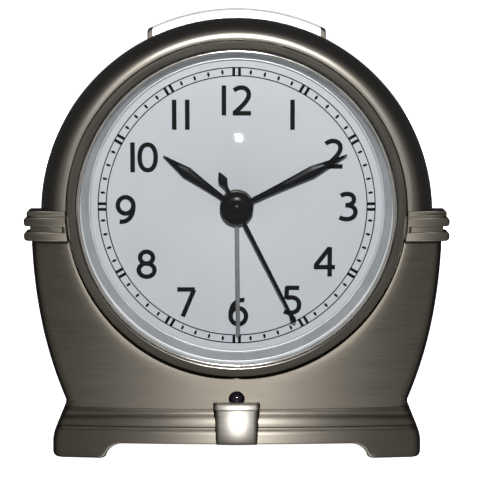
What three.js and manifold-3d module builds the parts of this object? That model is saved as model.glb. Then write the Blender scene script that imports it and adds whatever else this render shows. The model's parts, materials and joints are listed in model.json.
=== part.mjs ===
// A bedside quartz alarm clock: an arched metal case with a domed lens, a quartz movement with its
// gear train, and a plastic rear cover with the battery, the setting knobs and the alarm switch.
// Millimetres. X is to the right, Y to the back, Z up, and Z = 0 is the table. Depths are written
// from the front face of the dial: negative towards the viewer, positive towards the back.
import * as THREE from 'three';
import { mergeVertices } from 'three/addons/utils/BufferGeometryUtils.js';
import Module from 'manifold-3d';

const wasm = await Module();
wasm.setup();

// ---------------------------------------------------------------- driving dimensions
const GAP = 0.3; // between pieces that touch on the real clock
const LAP = 1; // how far a cutting tool reaches past the wall it cuts
const DIAL_FACE_Y = -14.85; // puts the middle of the whole depth at Y = 0
const ROUND = 40; // segments of a large circle
const SMALL = 12; // segments of a small circle

// Front view of the case.
const ARCH_Z = 59.7; // centre of the arched top
const ARCH_R = 48.2;
const DIAL_Z = 61.8; // centre of dial, bezel and hands
const SHOULDER_HALF = 50.4; // half width of the body under the lugs
const SHOULDER_Z = 52.4;
const BODY_BEND_HALF = 49.6; // steers the curve between waist and shoulder
const BODY_BEND_Z = 31;
const WAIST_HALF = 42.4;
const WAIST_Z = 14;
const BASE_HALF = 45.5;
const FLARE_Z = 4.5; // the base flares out from the waist down to here
const FLARE_BEND_HALF = 45.05; // steers the curve of the flare
const FLARE_BEND_Z = 7.35;
const FLOOR_Z = 3.8; // underside of the base, the height of the feet
const FOOT_INNER = 28.2; // where the cove of a foot begins, from the middle
const FOOT_TOE = 32.4; // inner end of a foot's sole
const CORNER = 1.2; // rounding of a foot's outer corner

// Depths of the case.
const BOW = 3.4; // how far the front falls back at BOW_HALF from the middle
const BOW_HALF = 52;
const WALL = 2.5;
const CASE_FRONT = -5.2;
const BAND_FRONT = -8.2; // the plain band under the reeds, and the front feet
const LOWER_REED_FRONT = -7.6;
const UPPER_REED_FRONT = -6.4;
const CREASE_FRONT = -4.4; // bottom of the crease between base and body
const KEYSTONE_FRONT = -9.2;
const CAVITY_FRONT = -1.5;
const CASE_BACK = 22;

// Heights at which one layer of the base gives way to the next.
const BAND_TOP = 7.4;
const REED_SPLIT = 10;
const CREASE_LOW = 11.9;
const CREASE_HIGH = 12.3;
const KEYSTONE_TOP = 12.9;
const KEYSTONE_TOP_HALF = 6;
const KEYSTONE_FOOT_HALF = 4.9;

const LUG_HALF = 51.9;
const LUG_INNER = 38; // the lugs start inside the wall of the case
const OPENING_R = 41.6; // hole in the front for the bezel
const FLANGE_R = 43.6; // the bezel's flange sits behind the front wall
const FLANGE_FRONT = -2.2;
const FLANGE_BACK = -0.7;

const COVER_FRONT = CASE_BACK + GAP;
const COVER_BACK = 38;
const COVER_INSET = 1;
const COVER_WALL = 2;
const COVER_FLOOR_Z = 4.4;
const KNOB_BACK = 42;
const KNOB_R = 6;

const DIAL_R = 39.8;
const DIAL_THICK = 0.6;
const DIAL_HOLE_R = 4.2;
const CONE_FRONT_R = 38;
const CONE_FRONT = -3;
const CONE_BACK_R = 35.9;
const LIP_R = 38.1;
const LENS_R = 100; // radius of the lens's outer sphere
const LENS_APEX = -12.3;
const LENS_THICK = 1.5;
const LENS_EDGE_R = 37.9; // where the dome meets its flange
const LENS_FLANGE_FRONT = -4.6;
const LENS_FLANGE_BACK = -3.3;

const SENSOR_Z = 14.6;
const SENSOR_R = 1.65;

const SNOOZE_HALF = 22;
const SNOOZE_R = 50.4;
const SLOT_FRONT = 7;
const SLOT_BACK = 17;
const SLOT_FLOOR_Z = 90; // the slot is cut from here up

// Screws, as places in X and Z.
const COVER_SCREWS = [[-30.8, 90.8], [30.8, 90.8], [-38.5, 17], [38.5, 17]];
const PLATE_SCREWS = [[-45.9, 56.5], [45.9, 56.5], [-33, 24], [33, 24]];
const PLATE_FRONT = 0.9;
const PLATE_BACK = 2.4;

// Places of the movement's arbors, from the centre of the dial.
const MINUTE_WHEEL_AT = [-8.314, -4.8];
const TIME_SHAFT_AT = [-16.628, -9.6];
const ALARM_SHAFT_AT = [8.73, -5.04];
const THIRD_AT = [0, 9];
const INTERMEDIATE_AT = [0, -7];
const ROTOR_AT = [-5.64, -9.051];

// Front and back of each hand, wheel and plate, in the order in which they are stacked.
const LAYER = {
  secondsHand: [-3.8, -3.5],
  minuteHand: [-2.9, -2.6],
  hourHand: [-2.1, -1.8],
  alarmHand: [-1.3, -1],
  frontHousing: [3, 11],
  alarmGear: [4.4, 5.4],
  alarmPinion: [4.4, 5.6],
  minuteLeaf: [5.8, 7.2],
  hourGear: [6, 7],
  contact: [7.25, 7.45],
  arborPinion: [7.5, 8.9],
  timePinion: [7.5, 8.8],
  minuteGear: [7.6, 8.6],
  thirdLeaf: [9.1, 10.3],
  centreGear: [9.2, 10.2],
  middlePlate: [10.6, 11.1],
  rearHousing: [11.3, 20],
  thirdGear: [11.4, 12.4],
  secondsLeaf: [11.4, 12.6],
  rotorMagnet: [12.9, 14.8],
  stator: [13.2, 14.2],
  intermediateLeaf: [13.3, 14.6],
  secondsGear: [13.4, 14.4],
  rotorLeaf: [15.1, 16.5],
  intermediateGear: [15.2, 16.2],
  chip: [15.4, 16.5],
  circuitBoard: [16.8, 17.6],
};
const PIVOT_BACK = 18.6; // back end of every arbor
const REAR_PIVOT = 11.4; // front end of the arbors that stand on the middle plate

// Hands, in degrees clockwise from twelve.
const HOUR_ANGLE = 305.35;
const MINUTE_ANGLE = 64.2;
const SECONDS_ANGLE = 153.1;
const ALARM_ANGLE = 179.4;
const HUB_R = 4.1; // round cap of the seconds hand

const SWITCH_X = 15;
const SWITCH_Z = 84;
const BUZZER_X = -17;
const BUZZER_Z = 78;
const BUZZER_R = 9;

const BATTERY_Z = 22;
const BATTERY_DEPTH = 28;
const BATTERY_R = 7.1;
const BATTERY_HALF = 25;
const TRAY_HALF = 32;
const DOOR_HALF = 30;
const DOOR_LOW = 14;
const DOOR_HIGH = 30;

// ---------------------------------------------------------------- colours
function finish(color, roughness, metalness) {
  return new THREE.MeshStandardMaterial({ color, roughness, metalness });
}

const pewter = () => finish(0x6e6962, 0.35, 1);
const brushed = () => finish(0x8e8a84, 0.32, 1);
const silver = () => finish(0xc8c9cb, 0.25, 1);
const brass = () => finish(0xb89a55, 0.35, 1);
const steel = () => finish(0x9a9ca0, 0.3, 1);
const copper = () => finish(0xa65f33, 0.4, 1);
const black = () => finish(0x111214, 0.35, 0);
const darkPlastic = () => finish(0x1c1d1f, 0.55, 0);
const paleDial = () => finish(0xc3c8cf, 0.6, 0);
const whitePlastic = () => finish(0xe4e2da, 0.5, 0);
const green = () => finish(0x1f5a3a, 0.6, 0);

// ---------------------------------------------------------------- solids
// A closed geometry as a solid, whichever way its faces point.
function solid(geometry) {
  const bare = geometry.clone();
  bare.deleteAttribute('normal');
  bare.deleteAttribute('uv');
  const merged = mergeVertices(bare, 1e-4);
  const place = merged.attributes.position;
  const corners = [new THREE.Vector3(), new THREE.Vector3(), new THREE.Vector3()];
  const faces = [];
  let volume = 0;
  for (let i = 0; i < merged.index.count; i += 3) {
    const face = [0, 1, 2].map((k) => merged.index.getX(i + k));
    if (face[0] === face[1] || face[1] === face[2] || face[2] === face[0]) continue;
    face.forEach((vertex, k) => corners[k].fromBufferAttribute(place, vertex));
    volume += corners[0].dot(corners[1].clone().cross(corners[2]));
    faces.push(face);
  }
  const facing = volume < 0 ? faces.map(([a, b, c]) => [a, c, b]) : faces;
  const mesh = new wasm.Mesh({
    numProp: 3,
    vertProperties: new Float32Array(place.array),
    triVerts: new Uint32Array(facing.flat()),
  });
  return new wasm.Manifold(mesh);
}

function geometryOf(made) {
  const mesh = made.getMesh();
  const geometry = new THREE.BufferGeometry();
  geometry.setAttribute('position', new THREE.BufferAttribute(new Float32Array(mesh.vertProperties), 3));
  geometry.setIndex(new THREE.BufferAttribute(new Uint32Array(mesh.triVerts), 1));
  geometry.computeVertexNormals();
  return geometry;
}

const join = (...pieces) => pieces.reduce((all, piece) => all.add(piece));
const cut = (body, ...tools) => tools.reduce((left, tool) => left.subtract(tool), body);

// A box between two corners.
function block(x0, x1, d0, d1, z0, z1) {
  const box = new THREE.BoxGeometry(x1 - x0, d1 - d0, z1 - z0);
  return solid(box.translate((x0 + x1) / 2, (d0 + d1) / 2, (z0 + z1) / 2));
}

// A profile of [radius, depth] points turned about a line along Y through (x, z).
function turned(profile, x, z, segments = ROUND) {
  const points = profile.map(([r, d]) => new THREE.Vector2(r, d));
  return solid(new THREE.LatheGeometry(points, segments).translate(x, 0, z));
}

function rod(x, z, r, d0, d1, segments = SMALL) {
  return turned([[0, d0], [r, d0], [r, d1], [0, d1]], x, z, segments);
}

function tube(x, z, inner, outer, d0, d1, segments = SMALL) {
  return turned([[inner, d0], [outer, d0], [outer, d1], [inner, d1], [inner, d0]], x, z, segments);
}

// A shape drawn in X and Z, extruded from depth d0 to d1.
function slab(shape, d0, d1, curveSegments = 12) {
  const settings = { depth: d1 - d0, bevelEnabled: false, curveSegments };
  return solid(new THREE.ExtrudeGeometry(shape, settings).rotateX(Math.PI / 2).translate(0, d1, 0));
}

function polygon(points) {
  return new THREE.Shape(points.map(([x, z]) => new THREE.Vector2(x, z)));
}

// The same outline points again on the other side of X = 0.
function mirrored(points) {
  const other = points.map(([x, z]) => [-x, z]).reverse();
  return polygon([...points, ...other]);
}

// A helical spring wire along X.
class Helix extends THREE.Curve {
  constructor(x0, x1, radius0, radius1, turns, depth, z) {
    super();
    Object.assign(this, { x0, x1, radius0, radius1, turns, depth, z });
  }

  getPoint(u, target = new THREE.Vector3()) {
    const angle = 2 * Math.PI * this.turns * u;
    const radius = this.radius0 + (this.radius1 - this.radius0) * u;
    const x = this.x0 + (this.x1 - this.x0) * u;
    return target.set(x, this.depth + radius * Math.cos(angle), this.z + radius * Math.sin(angle));
  }
}

const clock = new THREE.Group();
const assembly = new THREE.Group();
assembly.position.y = DIAL_FACE_Y;
clock.add(assembly);

function add(name, made, material) {
  const mesh = new THREE.Mesh(geometryOf(made), material);
  mesh.name = name;
  assembly.add(mesh);
}

// ---------------------------------------------------------------- case
// Front view of the case: flared base, waist, swelling sides and arched top, all moved in by inset.
function caseOutline(inset, floor) {
  const right = (half) => half - inset;
  const flare = Math.max(FLARE_Z, floor + 0.1);
  const bend = Math.max(FLARE_BEND_Z, flare + 1);
  const shape = new THREE.Shape();
  shape.moveTo(-right(BASE_HALF), floor);
  shape.lineTo(right(BASE_HALF), floor);
  shape.lineTo(right(BASE_HALF), flare);
  shape.quadraticCurveTo(right(FLARE_BEND_HALF), bend, right(WAIST_HALF), WAIST_Z);
  shape.quadraticCurveTo(right(BODY_BEND_HALF), BODY_BEND_Z, right(SHOULDER_HALF), SHOULDER_Z);
  shape.lineTo(right(SHOULDER_HALF), ARCH_Z - 1);
  shape.lineTo(right(ARCH_R), ARCH_Z);
  shape.absarc(0, ARCH_Z, ARCH_R - inset, 0, Math.PI, false);
  shape.lineTo(-right(ARCH_R), ARCH_Z);
  shape.lineTo(-right(SHOULDER_HALF), ARCH_Z - 1);
  shape.lineTo(-right(SHOULDER_HALF), SHOULDER_Z);
  shape.quadraticCurveTo(-right(BODY_BEND_HALF), BODY_BEND_Z, -right(WAIST_HALF), WAIST_Z);
  shape.quadraticCurveTo(-right(FLARE_BEND_HALF), bend, -right(BASE_HALF), flare);
  return shape;
}

// Everything behind a front that is bowed in plan, between two heights.
function bowed(front, z0, z1) {
  const shape = new THREE.Shape();
  shape.moveTo(-BOW_HALF, CASE_BACK);
  shape.lineTo(-BOW_HALF, front + BOW);
  shape.quadraticCurveTo(0, front - BOW, BOW_HALF, front + BOW);
  shape.lineTo(BOW_HALF, CASE_BACK);
  const settings = { depth: z1 - z0, bevelEnabled: false, curveSegments: 12 };
  return solid(new THREE.ExtrudeGeometry(shape, settings).translate(0, 0, z0));
}

// The stepped base: a plain band, two reeds and a crease, then the body above them.
function lowerBody() {
  const layers = join(
    bowed(BAND_FRONT, FLOOR_Z, BAND_TOP),
    bowed(LOWER_REED_FRONT, BAND_TOP - 0.1, REED_SPLIT),
    bowed(UPPER_REED_FRONT, REED_SPLIT - 0.1, CREASE_LOW),
    bowed(CREASE_FRONT, CREASE_LOW - 0.1, CREASE_HIGH),
    bowed(CASE_FRONT, CREASE_HIGH - 0.1, ARCH_Z),
  );
  return slab(caseOutline(0, FLOOR_Z), -12, CASE_BACK).intersect(layers);
}

// The arch, with a bullnose between its face and its rim.
function arch() {
  const profile = [[0, CASE_FRONT], [43.4, CASE_FRONT], [45.6, -4.6], [47.4, -2.6]];
  const dome = turned([...profile, [ARCH_R, 0.8], [ARCH_R, CASE_BACK], [0, CASE_BACK]], 0, ARCH_Z, 48);
  return dome.intersect(block(-60, 60, -20, 30, ARCH_Z - 0.1, 120));
}

// Three horizontal ribs on each side, where the arch meets the body. They reach back a little way.
function lugs(side) {
  const rib = (half, front, back, z0, z1) => {
    const [x0, x1] = side > 0 ? [LUG_INNER, half] : [-half, -LUG_INNER];
    return block(x0, x1, front, back, z0, z1);
  };
  const core = LUG_HALF - 1.6;
  return join(
    rib(LUG_HALF - 0.7, -5, 2, 59.9, 61.2),
    rib(core, -4.6, 2.3, 54.8, 60.2),
    rib(LUG_HALF, -5.8, 1, 57.6, 59.7),
    rib(LUG_HALF, -5.8, 1, 53.9, 56.1),
  );
}

// One foot, as deep as the case: plain outside, coved on its inner side.
function foot(side) {
  const top = FLOOR_Z + 0.2;
  const shape = new THREE.Shape();
  shape.moveTo(side * FOOT_TOE, 0);
  shape.lineTo(side * (BASE_HALF - CORNER), 0);
  shape.quadraticCurveTo(side * BASE_HALF, 0, side * BASE_HALF, CORNER);
  shape.lineTo(side * BASE_HALF, top);
  shape.lineTo(side * FOOT_INNER, top);
  shape.quadraticCurveTo(side * (FOOT_TOE - 0.8), FLOOR_Z - 0.4, side * FOOT_TOE, 0);
  return slab(shape, -12, CASE_BACK - 0.4, 4).intersect(bowed(BAND_FRONT, -1, FLOOR_Z + 1));
}

function frontCase() {
  const post = { r: 2.6, front: 3.5, back: CASE_BACK - 0.5, bore: 1.4, boreFront: 8 };
  const cavity = slab(caseOutline(WALL, FLOOR_Z + WALL), CAVITY_FRONT, CASE_BACK + LAP);
  const slotHalf = SNOOZE_HALF + GAP;
  const snoozeSlot = block(-slotHalf, slotHalf, SLOT_FRONT, SLOT_BACK, SLOT_FLOOR_Z, 120);
  const keystoneSide = [[KEYSTONE_FOOT_HALF, FLOOR_Z], [KEYSTONE_TOP_HALF, KEYSTONE_TOP]];
  const keystone = slab(mirrored(keystoneSide), KEYSTONE_FRONT, -4);
  let body = join(lowerBody(), arch(), lugs(1), lugs(-1), foot(1), foot(-1), keystone);
  body = cut(
    body,
    cavity,
    snoozeSlot,
    rod(0, DIAL_Z, OPENING_R, -20, 0, ROUND),
    rod(0, DIAL_Z, FLANGE_R + GAP, FLANGE_FRONT - GAP, 0, ROUND),
    rod(0, SENSOR_Z, SENSOR_R + GAP, -10, 0),
  );
  for (const [x, z] of COVER_SCREWS) {
    body = join(body, rod(x, z, post.r, post.front, post.back));
    body = cut(body, rod(x, z, post.bore, post.boreFront, post.back + LAP));
  }
  for (const [x, z] of PLATE_SCREWS) {
    body = cut(join(body, rod(x, z, 1.7, CAVITY_FRONT - 0.1, PLATE_FRONT - GAP)), rod(x, z, 1.05, -1.3, 2));
  }
  return body;
}

function rearCover() {
  const wallFront = COVER_BACK - COVER_WALL;
  const through = COVER_BACK + LAP;
  const inside = caseOutline(COVER_INSET + COVER_WALL, COVER_FLOOR_Z + COVER_WALL + 0.6);
  const cavity = slab(inside, COVER_FRONT - LAP, wallFront);
  let cover = cut(slab(caseOutline(COVER_INSET, COVER_FLOOR_Z), COVER_FRONT, COVER_BACK), cavity);
  const tray = block(-TRAY_HALF, TRAY_HALF, 18.8, wallFront + 0.5, DOOR_LOW - 1.5, DOOR_HIGH + 1.5);
  cover = join(cover, tray);
  for (const [x, z] of COVER_SCREWS) cover = join(cover, rod(x, z, 3.6, COVER_FRONT, wallFront + 0.5));
  const pocketHalf = DOOR_HALF + GAP;
  cover = cut(cover, block(-pocketHalf, pocketHalf, 20, through, DOOR_LOW - GAP, DOOR_HIGH + GAP));
  for (const [x, z] of COVER_SCREWS) {
    cover = cut(cover, rod(x, z, 1.4, 20, through), rod(x, z, 2.8, 32.7, through));
  }
  for (const [x, z] of [TIME_SHAFT_AT, ALARM_SHAFT_AT]) {
    cover = cut(cover, rod(x, z + DIAL_Z, 1.8, 30, through));
  }
  cover = cut(cover, block(SWITCH_X - 5, SWITCH_X + 5, 30, through, SWITCH_Z - 1.5, SWITCH_Z + 1.5));
  return cut(cover, ...grille(30, through));
}

// The holes in front of the buzzer: one in the middle and a ring of six.
function grille(front, back) {
  const outer = 6;
  const holes = [rod(BUZZER_X, BUZZER_Z, 1.1, front, back, 10)];
  for (let k = 0; k < outer; k += 1) {
    const angle = (2 * Math.PI * k) / outer;
    const spread = BUZZER_R / 2;
    const [x, z] = [BUZZER_X + spread * Math.cos(angle), BUZZER_Z + spread * Math.sin(angle)];
    holes.push(rod(x, z, 1.1, front, back, 10));
  }
  return holes;
}

add('front_case', frontCase(), pewter());
add('rear_cover', rearCover(), darkPlastic());

// ---------------------------------------------------------------- bezel, lens and dial
function bezelRing() {
  const outerR = OPENING_R - GAP;
  const innerR = DIAL_R + GAP;
  const crown = [[LIP_R, -6], [LIP_R + 1.1, -6.6], [outerR - 0.6, -6.4], [outerR, -5.6]];
  const flangeTop = [[outerR, FLANGE_FRONT], [FLANGE_R, FLANGE_FRONT]];
  const flange = [...flangeTop, [FLANGE_R, FLANGE_BACK], [outerR, FLANGE_BACK]];
  const inside = [[outerR, DIAL_THICK], [innerR, DIAL_THICK], [innerR, -4.9], [LIP_R, -4.9], [LIP_R, -6]];
  return turned([...crown, ...flange, ...inside], 0, DIAL_Z);
}

// Depth of a sphere of radius R whose front is at the given apex, at a distance r from the axis.
const dome = (R, apex, r) => apex + R - Math.sqrt(R * R - r * r);

function lens() {
  const rows = 5;
  const insideR = LENS_EDGE_R - 0.9;
  const front = [];
  const back = [];
  for (let k = 0; k <= rows; k += 1) {
    const outerR = (LENS_EDGE_R * k) / rows;
    const innerR = insideR * (1 - k / rows);
    front.push([outerR, dome(LENS_R, LENS_APEX, outerR)]);
    back.push([innerR, dome(LENS_R - LENS_THICK, LENS_APEX + LENS_THICK, innerR)]);
  }
  const flange = [[DIAL_R, LENS_FLANGE_FRONT], [DIAL_R, LENS_FLANGE_BACK]];
  return turned([...front, ...flange, ...back], 0, DIAL_Z);
}

// The conical ring behind the lens, with a pocket at the top and the bottom for a lamp.
function reflectorRing() {
  const back = -GAP;
  const profile = [[CONE_BACK_R, back], [DIAL_R, back], [DIAL_R, CONE_FRONT], [CONE_FRONT_R, CONE_FRONT]];
  const pocket = (side) => {
    const ends = [DIAL_Z + side * (DIAL_R - 2), DIAL_Z + side * (DIAL_R + LAP)];
    return block(-1.6, 1.6, -1.8, 0, Math.min(...ends), Math.max(...ends));
  };
  return cut(turned([...profile, [CONE_BACK_R, back]], 0, DIAL_Z), pocket(1), pocket(-1));
}

function dialLamp(side) {
  const ends = [DIAL_Z + side * (DIAL_R - 1.6), DIAL_Z + side * (DIAL_R - GAP)];
  return block(-1.3, 1.3, -1.5, -GAP, Math.min(...ends), Math.max(...ends));
}

add('bezel_ring', bezelRing(), brushed());
add('lens', lens(), finish(0xf4f7fa, 0.03, 0));
add('reflector_ring', reflectorRing(), silver());
add('dial_lamp_top', dialLamp(1), whitePlastic());
add('dial_lamp_bottom', dialLamp(-1), whitePlastic());
add('dial', tube(0, DIAL_Z, DIAL_HOLE_R, DIAL_R, 0, DIAL_THICK, ROUND), paleDial());

// An ear that carries the plate out to one of its screws: level beside the lugs, slanted below.
function plateEar([x, z]) {
  const side = Math.sign(x);
  const ear = rod(x, z, 1.9, PLATE_FRONT, PLATE_BACK);
  if (z > DIAL_Z / 2 + 10) {
    const ends = [x, x - side * 5];
    return join(ear, block(Math.min(...ends), Math.max(...ends), PLATE_FRONT, PLATE_BACK, z - 1.9, z + 1.9));
  }
  const outer = [[x - side * 7, z + 7], [x + side * 1.3, z + 1.3]];
  const inner = [[x - side * 1.3, z - 1.3], [x - side * 9.6, z + 4.4]];
  return join(ear, slab(polygon([...outer, ...inner]), PLATE_FRONT, PLATE_BACK));
}

// A snap post beside the movement, with a hook over its back.
function movementClip(side) {
  const reach = (inner) => (side > 0 ? [inner, 27.8] : [-27.8, -inner]);
  const [low, high] = [DIAL_Z - 5, DIAL_Z + 5];
  const post = block(...reach(26.3), PLATE_BACK - 0.2, 21.3, low, high);
  return join(post, block(...reach(24.6), 20.3, 21.3, low, high));
}

// The plate behind the dial, with a shelf for the snooze switch.
function dialPlate() {
  const shelf = block(-9, 9, PLATE_BACK - 0.2, 16, 88.5, SLOT_FLOOR_Z);
  let plate = rod(0, DIAL_Z, FLANGE_R - 0.4, PLATE_FRONT, PLATE_BACK, ROUND);
  plate = join(plate, ...PLATE_SCREWS.map(plateEar), movementClip(1), movementClip(-1), shelf);
  const holes = PLATE_SCREWS.map(([x, z]) => rod(x, z, 1.05, 0, PLATE_BACK + LAP));
  return cut(plate, rod(0, DIAL_Z, DIAL_HOLE_R, 0, PLATE_BACK + LAP), ...holes);
}

add('dial_plate', dialPlate(), whitePlastic());

function plateScrew(x, z) {
  const shank = rod(x, z, 0.75, -1, PLATE_BACK + 0.6, 10);
  return join(shank, rod(x, z, 1.7, PLATE_BACK + GAP, PLATE_BACK + 1.4, 12));
}

function coverScrew(x, z) {
  const [head, crown] = [33, 34.9];
  const slot = block(x - 3, x + 3, crown - 0.6, crown + LAP, z - 0.35, z + 0.35);
  return cut(join(rod(x, z, 1.05, 9, head + 0.4, 10), rod(x, z, 2.4, head, crown, 14)), slot);
}

PLATE_SCREWS.forEach(([x, z], k) => add(`dial_plate_screw_${k + 1}`, plateScrew(x, z), steel()));
COVER_SCREWS.forEach(([x, z], k) => add(`rear_cover_screw_${k + 1}`, coverScrew(x, z), steel()));

// ---------------------------------------------------------------- light sensor and snooze
function lightSensor() {
  const flangeR = SENSOR_R + 0.7;
  const dome = [[0, -6.1], [0.55 * SENSOR_R, -5.9], [0.88 * SENSOR_R, -5.4], [SENSOR_R, -4.8]];
  const foot = [[SENSOR_R, -1.2], [flangeR, -1.2], [flangeR, -0.5], [0, -0.5]];
  return turned([...dome, ...foot], 0, SENSOR_Z, SMALL);
}

// An arc of the arch's own centre, cut off straight at both ends.
function archBar(inner, outer, half, d0, d1) {
  const ring = tube(0, ARCH_Z, inner, outer, d0, d1, 64);
  return ring.intersect(block(-half, half, d0 - LAP, d1 + LAP, ARCH_Z + 20, 120));
}

function snoozeBar() {
  const cap = archBar(SNOOZE_R - 6.4, SNOOZE_R, SNOOZE_HALF, SLOT_FRONT + GAP, SLOT_BACK - GAP);
  const flange = archBar(SNOOZE_R - 7.4, SNOOZE_R - 5.2, SNOOZE_HALF + 2.5, SLOT_FRONT - 1, SLOT_BACK + 1);
  return join(cap, flange, block(-2, 2, 10, 14, ARCH_Z + 36.4, ARCH_Z + 44));
}

add('light_sensor', lightSensor(), black());
add('sensor_board', block(-5, 5, -0.2, 0.8, SENSOR_Z - 4.5, SENSOR_Z + 4.5), green());
add('snooze_bar', snoozeBar(), silver());
add('snooze_switch', block(-4.5, 4.5, 8, 15.5, SLOT_FLOOR_Z + GAP, SLOT_FLOOR_Z + 4.8), black());

// ---------------------------------------------------------------- gears
// A toothed disc in X and Z about the origin, with one tooth centred on the angle given by phase.
function gearShape(teeth, module, phase) {
  const pitch = (module * teeth) / 2;
  const tip = pitch + 0.8 * module;
  const root = pitch - 1.15 * module;
  const step = (2 * Math.PI) / teeth;
  const shape = new THREE.Shape();
  for (let k = 0; k < teeth; k += 1) {
    const middle = phase + k * step;
    const corners = [[root, -0.27], [tip, -0.1], [tip, 0.1], [root, 0.27]];
    corners.forEach(([r, share], i) => {
      const angle = middle + share * step;
      const method = k === 0 && i === 0 ? 'moveTo' : 'lineTo';
      shape[method](r * Math.cos(angle), r * Math.sin(angle));
    });
  }
  return shape;
}

function gear([x, z], teeth, module, phase, [d0, d1]) {
  return slab(gearShape(teeth, module, phase), d0, d1).translate([x, 0, z + DIAL_Z]);
}

// Phase of a gear that meshes with another one, whose phase is known.
function meshed(teethA, atA, phaseA, teethB, atB) {
  const line = Math.atan2(atB[1] - atA[1], atB[0] - atA[0]);
  return line + Math.PI - ((phaseA - line) * teethA) / teethB - Math.PI / teethB;
}

const CENTRE = [0, 0];
const onDial = ([x, z], inner, outer, d0, d1) => tube(x, z + DIAL_Z, inner, outer, d0, d1);
const pin = ([x, z], r, d0, d1, segments = SMALL) => rod(x, z + DIAL_Z, r, d0, d1, segments);

const ALARM_TEETH = 33;
const ALARM_LEAF = 9;
const ALARM_MODULE = 0.48;
const SET_TEETH = 9;
const HOUR_TEETH = 32;
const HOUR_MODULE = 0.48;
const MINUTE_TEETH = 27;
const MINUTE_MODULE = 9.6 / 18;
const MINUTE_LEAF = 8;
const CENTRE_TEETH = 48;
const THIRD_TEETH = 45;
const THIRD_MODULE = 18 / 51;
const SECONDS_TEETH = 36;
const INTERMEDIATE_TEETH = 30;
const LEAF = 6; // leaves of the small pinions
const FINE_MODULE = 1 / 3;

function alarmWheel() {
  const made = join(gear(CENTRE, ALARM_TEETH, ALARM_MODULE, 0, LAYER.alarmGear), pin(CENTRE, 3.4, -0.7, 5.4));
  return cut(made, pin(CENTRE, 2.8, -2, 8));
}

function hourWheel(phase) {
  const made = join(gear(CENTRE, HOUR_TEETH, HOUR_MODULE, phase, LAYER.hourGear), pin(CENTRE, 2.5, -1.5, 7));
  return cut(made, pin(CENTRE, 1.8, -3, 8));
}

function minuteArbor() {
  const pinion = gear(CENTRE, SET_TEETH, MINUTE_MODULE, 0, LAYER.arborPinion);
  const made = join(pinion, pin(CENTRE, 1.5, -2.3, 10.3));
  return cut(made, pin(CENTRE, 0.8, -4, 12, 12));
}

function minuteWheel(wheelPhase, leafPhase) {
  const made = join(
    gear(MINUTE_WHEEL_AT, MINUTE_TEETH, MINUTE_MODULE, wheelPhase, LAYER.minuteGear),
    gear(MINUTE_WHEEL_AT, MINUTE_LEAF, HOUR_MODULE, leafPhase, LAYER.minuteLeaf),
    pin(MINUTE_WHEEL_AT, 1.3, 5.8, 8.6),
  );
  return cut(made, pin(MINUTE_WHEEL_AT, 0.9, 0, 12));
}

// A shaft from the front of the movement out to its knob at the back, with one pinion.
function settingShaft(at, teeth, module, phase, layer) {
  return join(gear(at, teeth, module, phase, layer), pin(at, 1.2, LAYER.alarmPinion[0], KNOB_BACK - 1));
}

// A wheel and its leaf pinion on one arbor of radius r, whose front end is at the given depth.
function compound(at, wheel, leaf, r, front) {
  return join(gear(at, ...wheel), gear(at, ...leaf), pin(at, r, front, PIVOT_BACK, 10));
}

const minuteWheelPhase = meshed(SET_TEETH, CENTRE, 0, MINUTE_TEETH, MINUTE_WHEEL_AT);
const hourPhase = meshed(MINUTE_LEAF, MINUTE_WHEEL_AT, 0, HOUR_TEETH, CENTRE);
const timeSetPhase = meshed(MINUTE_TEETH, MINUTE_WHEEL_AT, minuteWheelPhase, SET_TEETH, TIME_SHAFT_AT);
const alarmSetPhase = meshed(ALARM_TEETH, CENTRE, 0, ALARM_LEAF, ALARM_SHAFT_AT);
const centrePhase = meshed(LEAF, THIRD_AT, 0, CENTRE_TEETH, CENTRE);
const secondsLeafPhase = meshed(THIRD_TEETH, THIRD_AT, 0, LEAF, CENTRE);
const secondsPhase = meshed(LEAF, INTERMEDIATE_AT, 0, SECONDS_TEETH, CENTRE);
const rotorPhase = meshed(INTERMEDIATE_TEETH, INTERMEDIATE_AT, 0, LEAF, ROTOR_AT);

add('alarm_wheel', alarmWheel(), whitePlastic());
add('hour_wheel', hourWheel(hourPhase), whitePlastic());
add('minute_wheel', minuteWheel(minuteWheelPhase, 0), whitePlastic());
add('minute_arbor', minuteArbor(), whitePlastic());
const timeShaft = settingShaft(TIME_SHAFT_AT, SET_TEETH, MINUTE_MODULE, timeSetPhase, LAYER.timePinion);
const alarmShaft = settingShaft(ALARM_SHAFT_AT, ALARM_LEAF, ALARM_MODULE, alarmSetPhase, LAYER.alarmPinion);
add('time_set_shaft', timeShaft, whitePlastic());
add('alarm_set_shaft', alarmShaft, whitePlastic());

const centreGear = gear(CENTRE, CENTRE_TEETH, FINE_MODULE, centrePhase, LAYER.centreGear);
add('centre_wheel', cut(centreGear, pin(CENTRE, 1.8, 0, 12)), whitePlastic());
add('third_wheel', compound(
  THIRD_AT,
  [THIRD_TEETH, THIRD_MODULE, 0, LAYER.thirdGear],
  [LEAF, FINE_MODULE, 0, LAYER.thirdLeaf],
  0.4,
  LAYER.alarmGear[0],
), whitePlastic());
add('seconds_wheel', compound(
  CENTRE,
  [SECONDS_TEETH, FINE_MODULE, secondsPhase, LAYER.secondsGear],
  [LEAF, THIRD_MODULE, secondsLeafPhase, LAYER.secondsLeaf],
  0.5,
  LAYER.secondsHand[1] + GAP,
), whitePlastic());
add('intermediate_wheel', compound(
  INTERMEDIATE_AT,
  [INTERMEDIATE_TEETH, FINE_MODULE, 0, LAYER.intermediateGear],
  [LEAF, FINE_MODULE, 0, LAYER.intermediateLeaf],
  0.4,
  REAR_PIVOT,
), whitePlastic());

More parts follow.
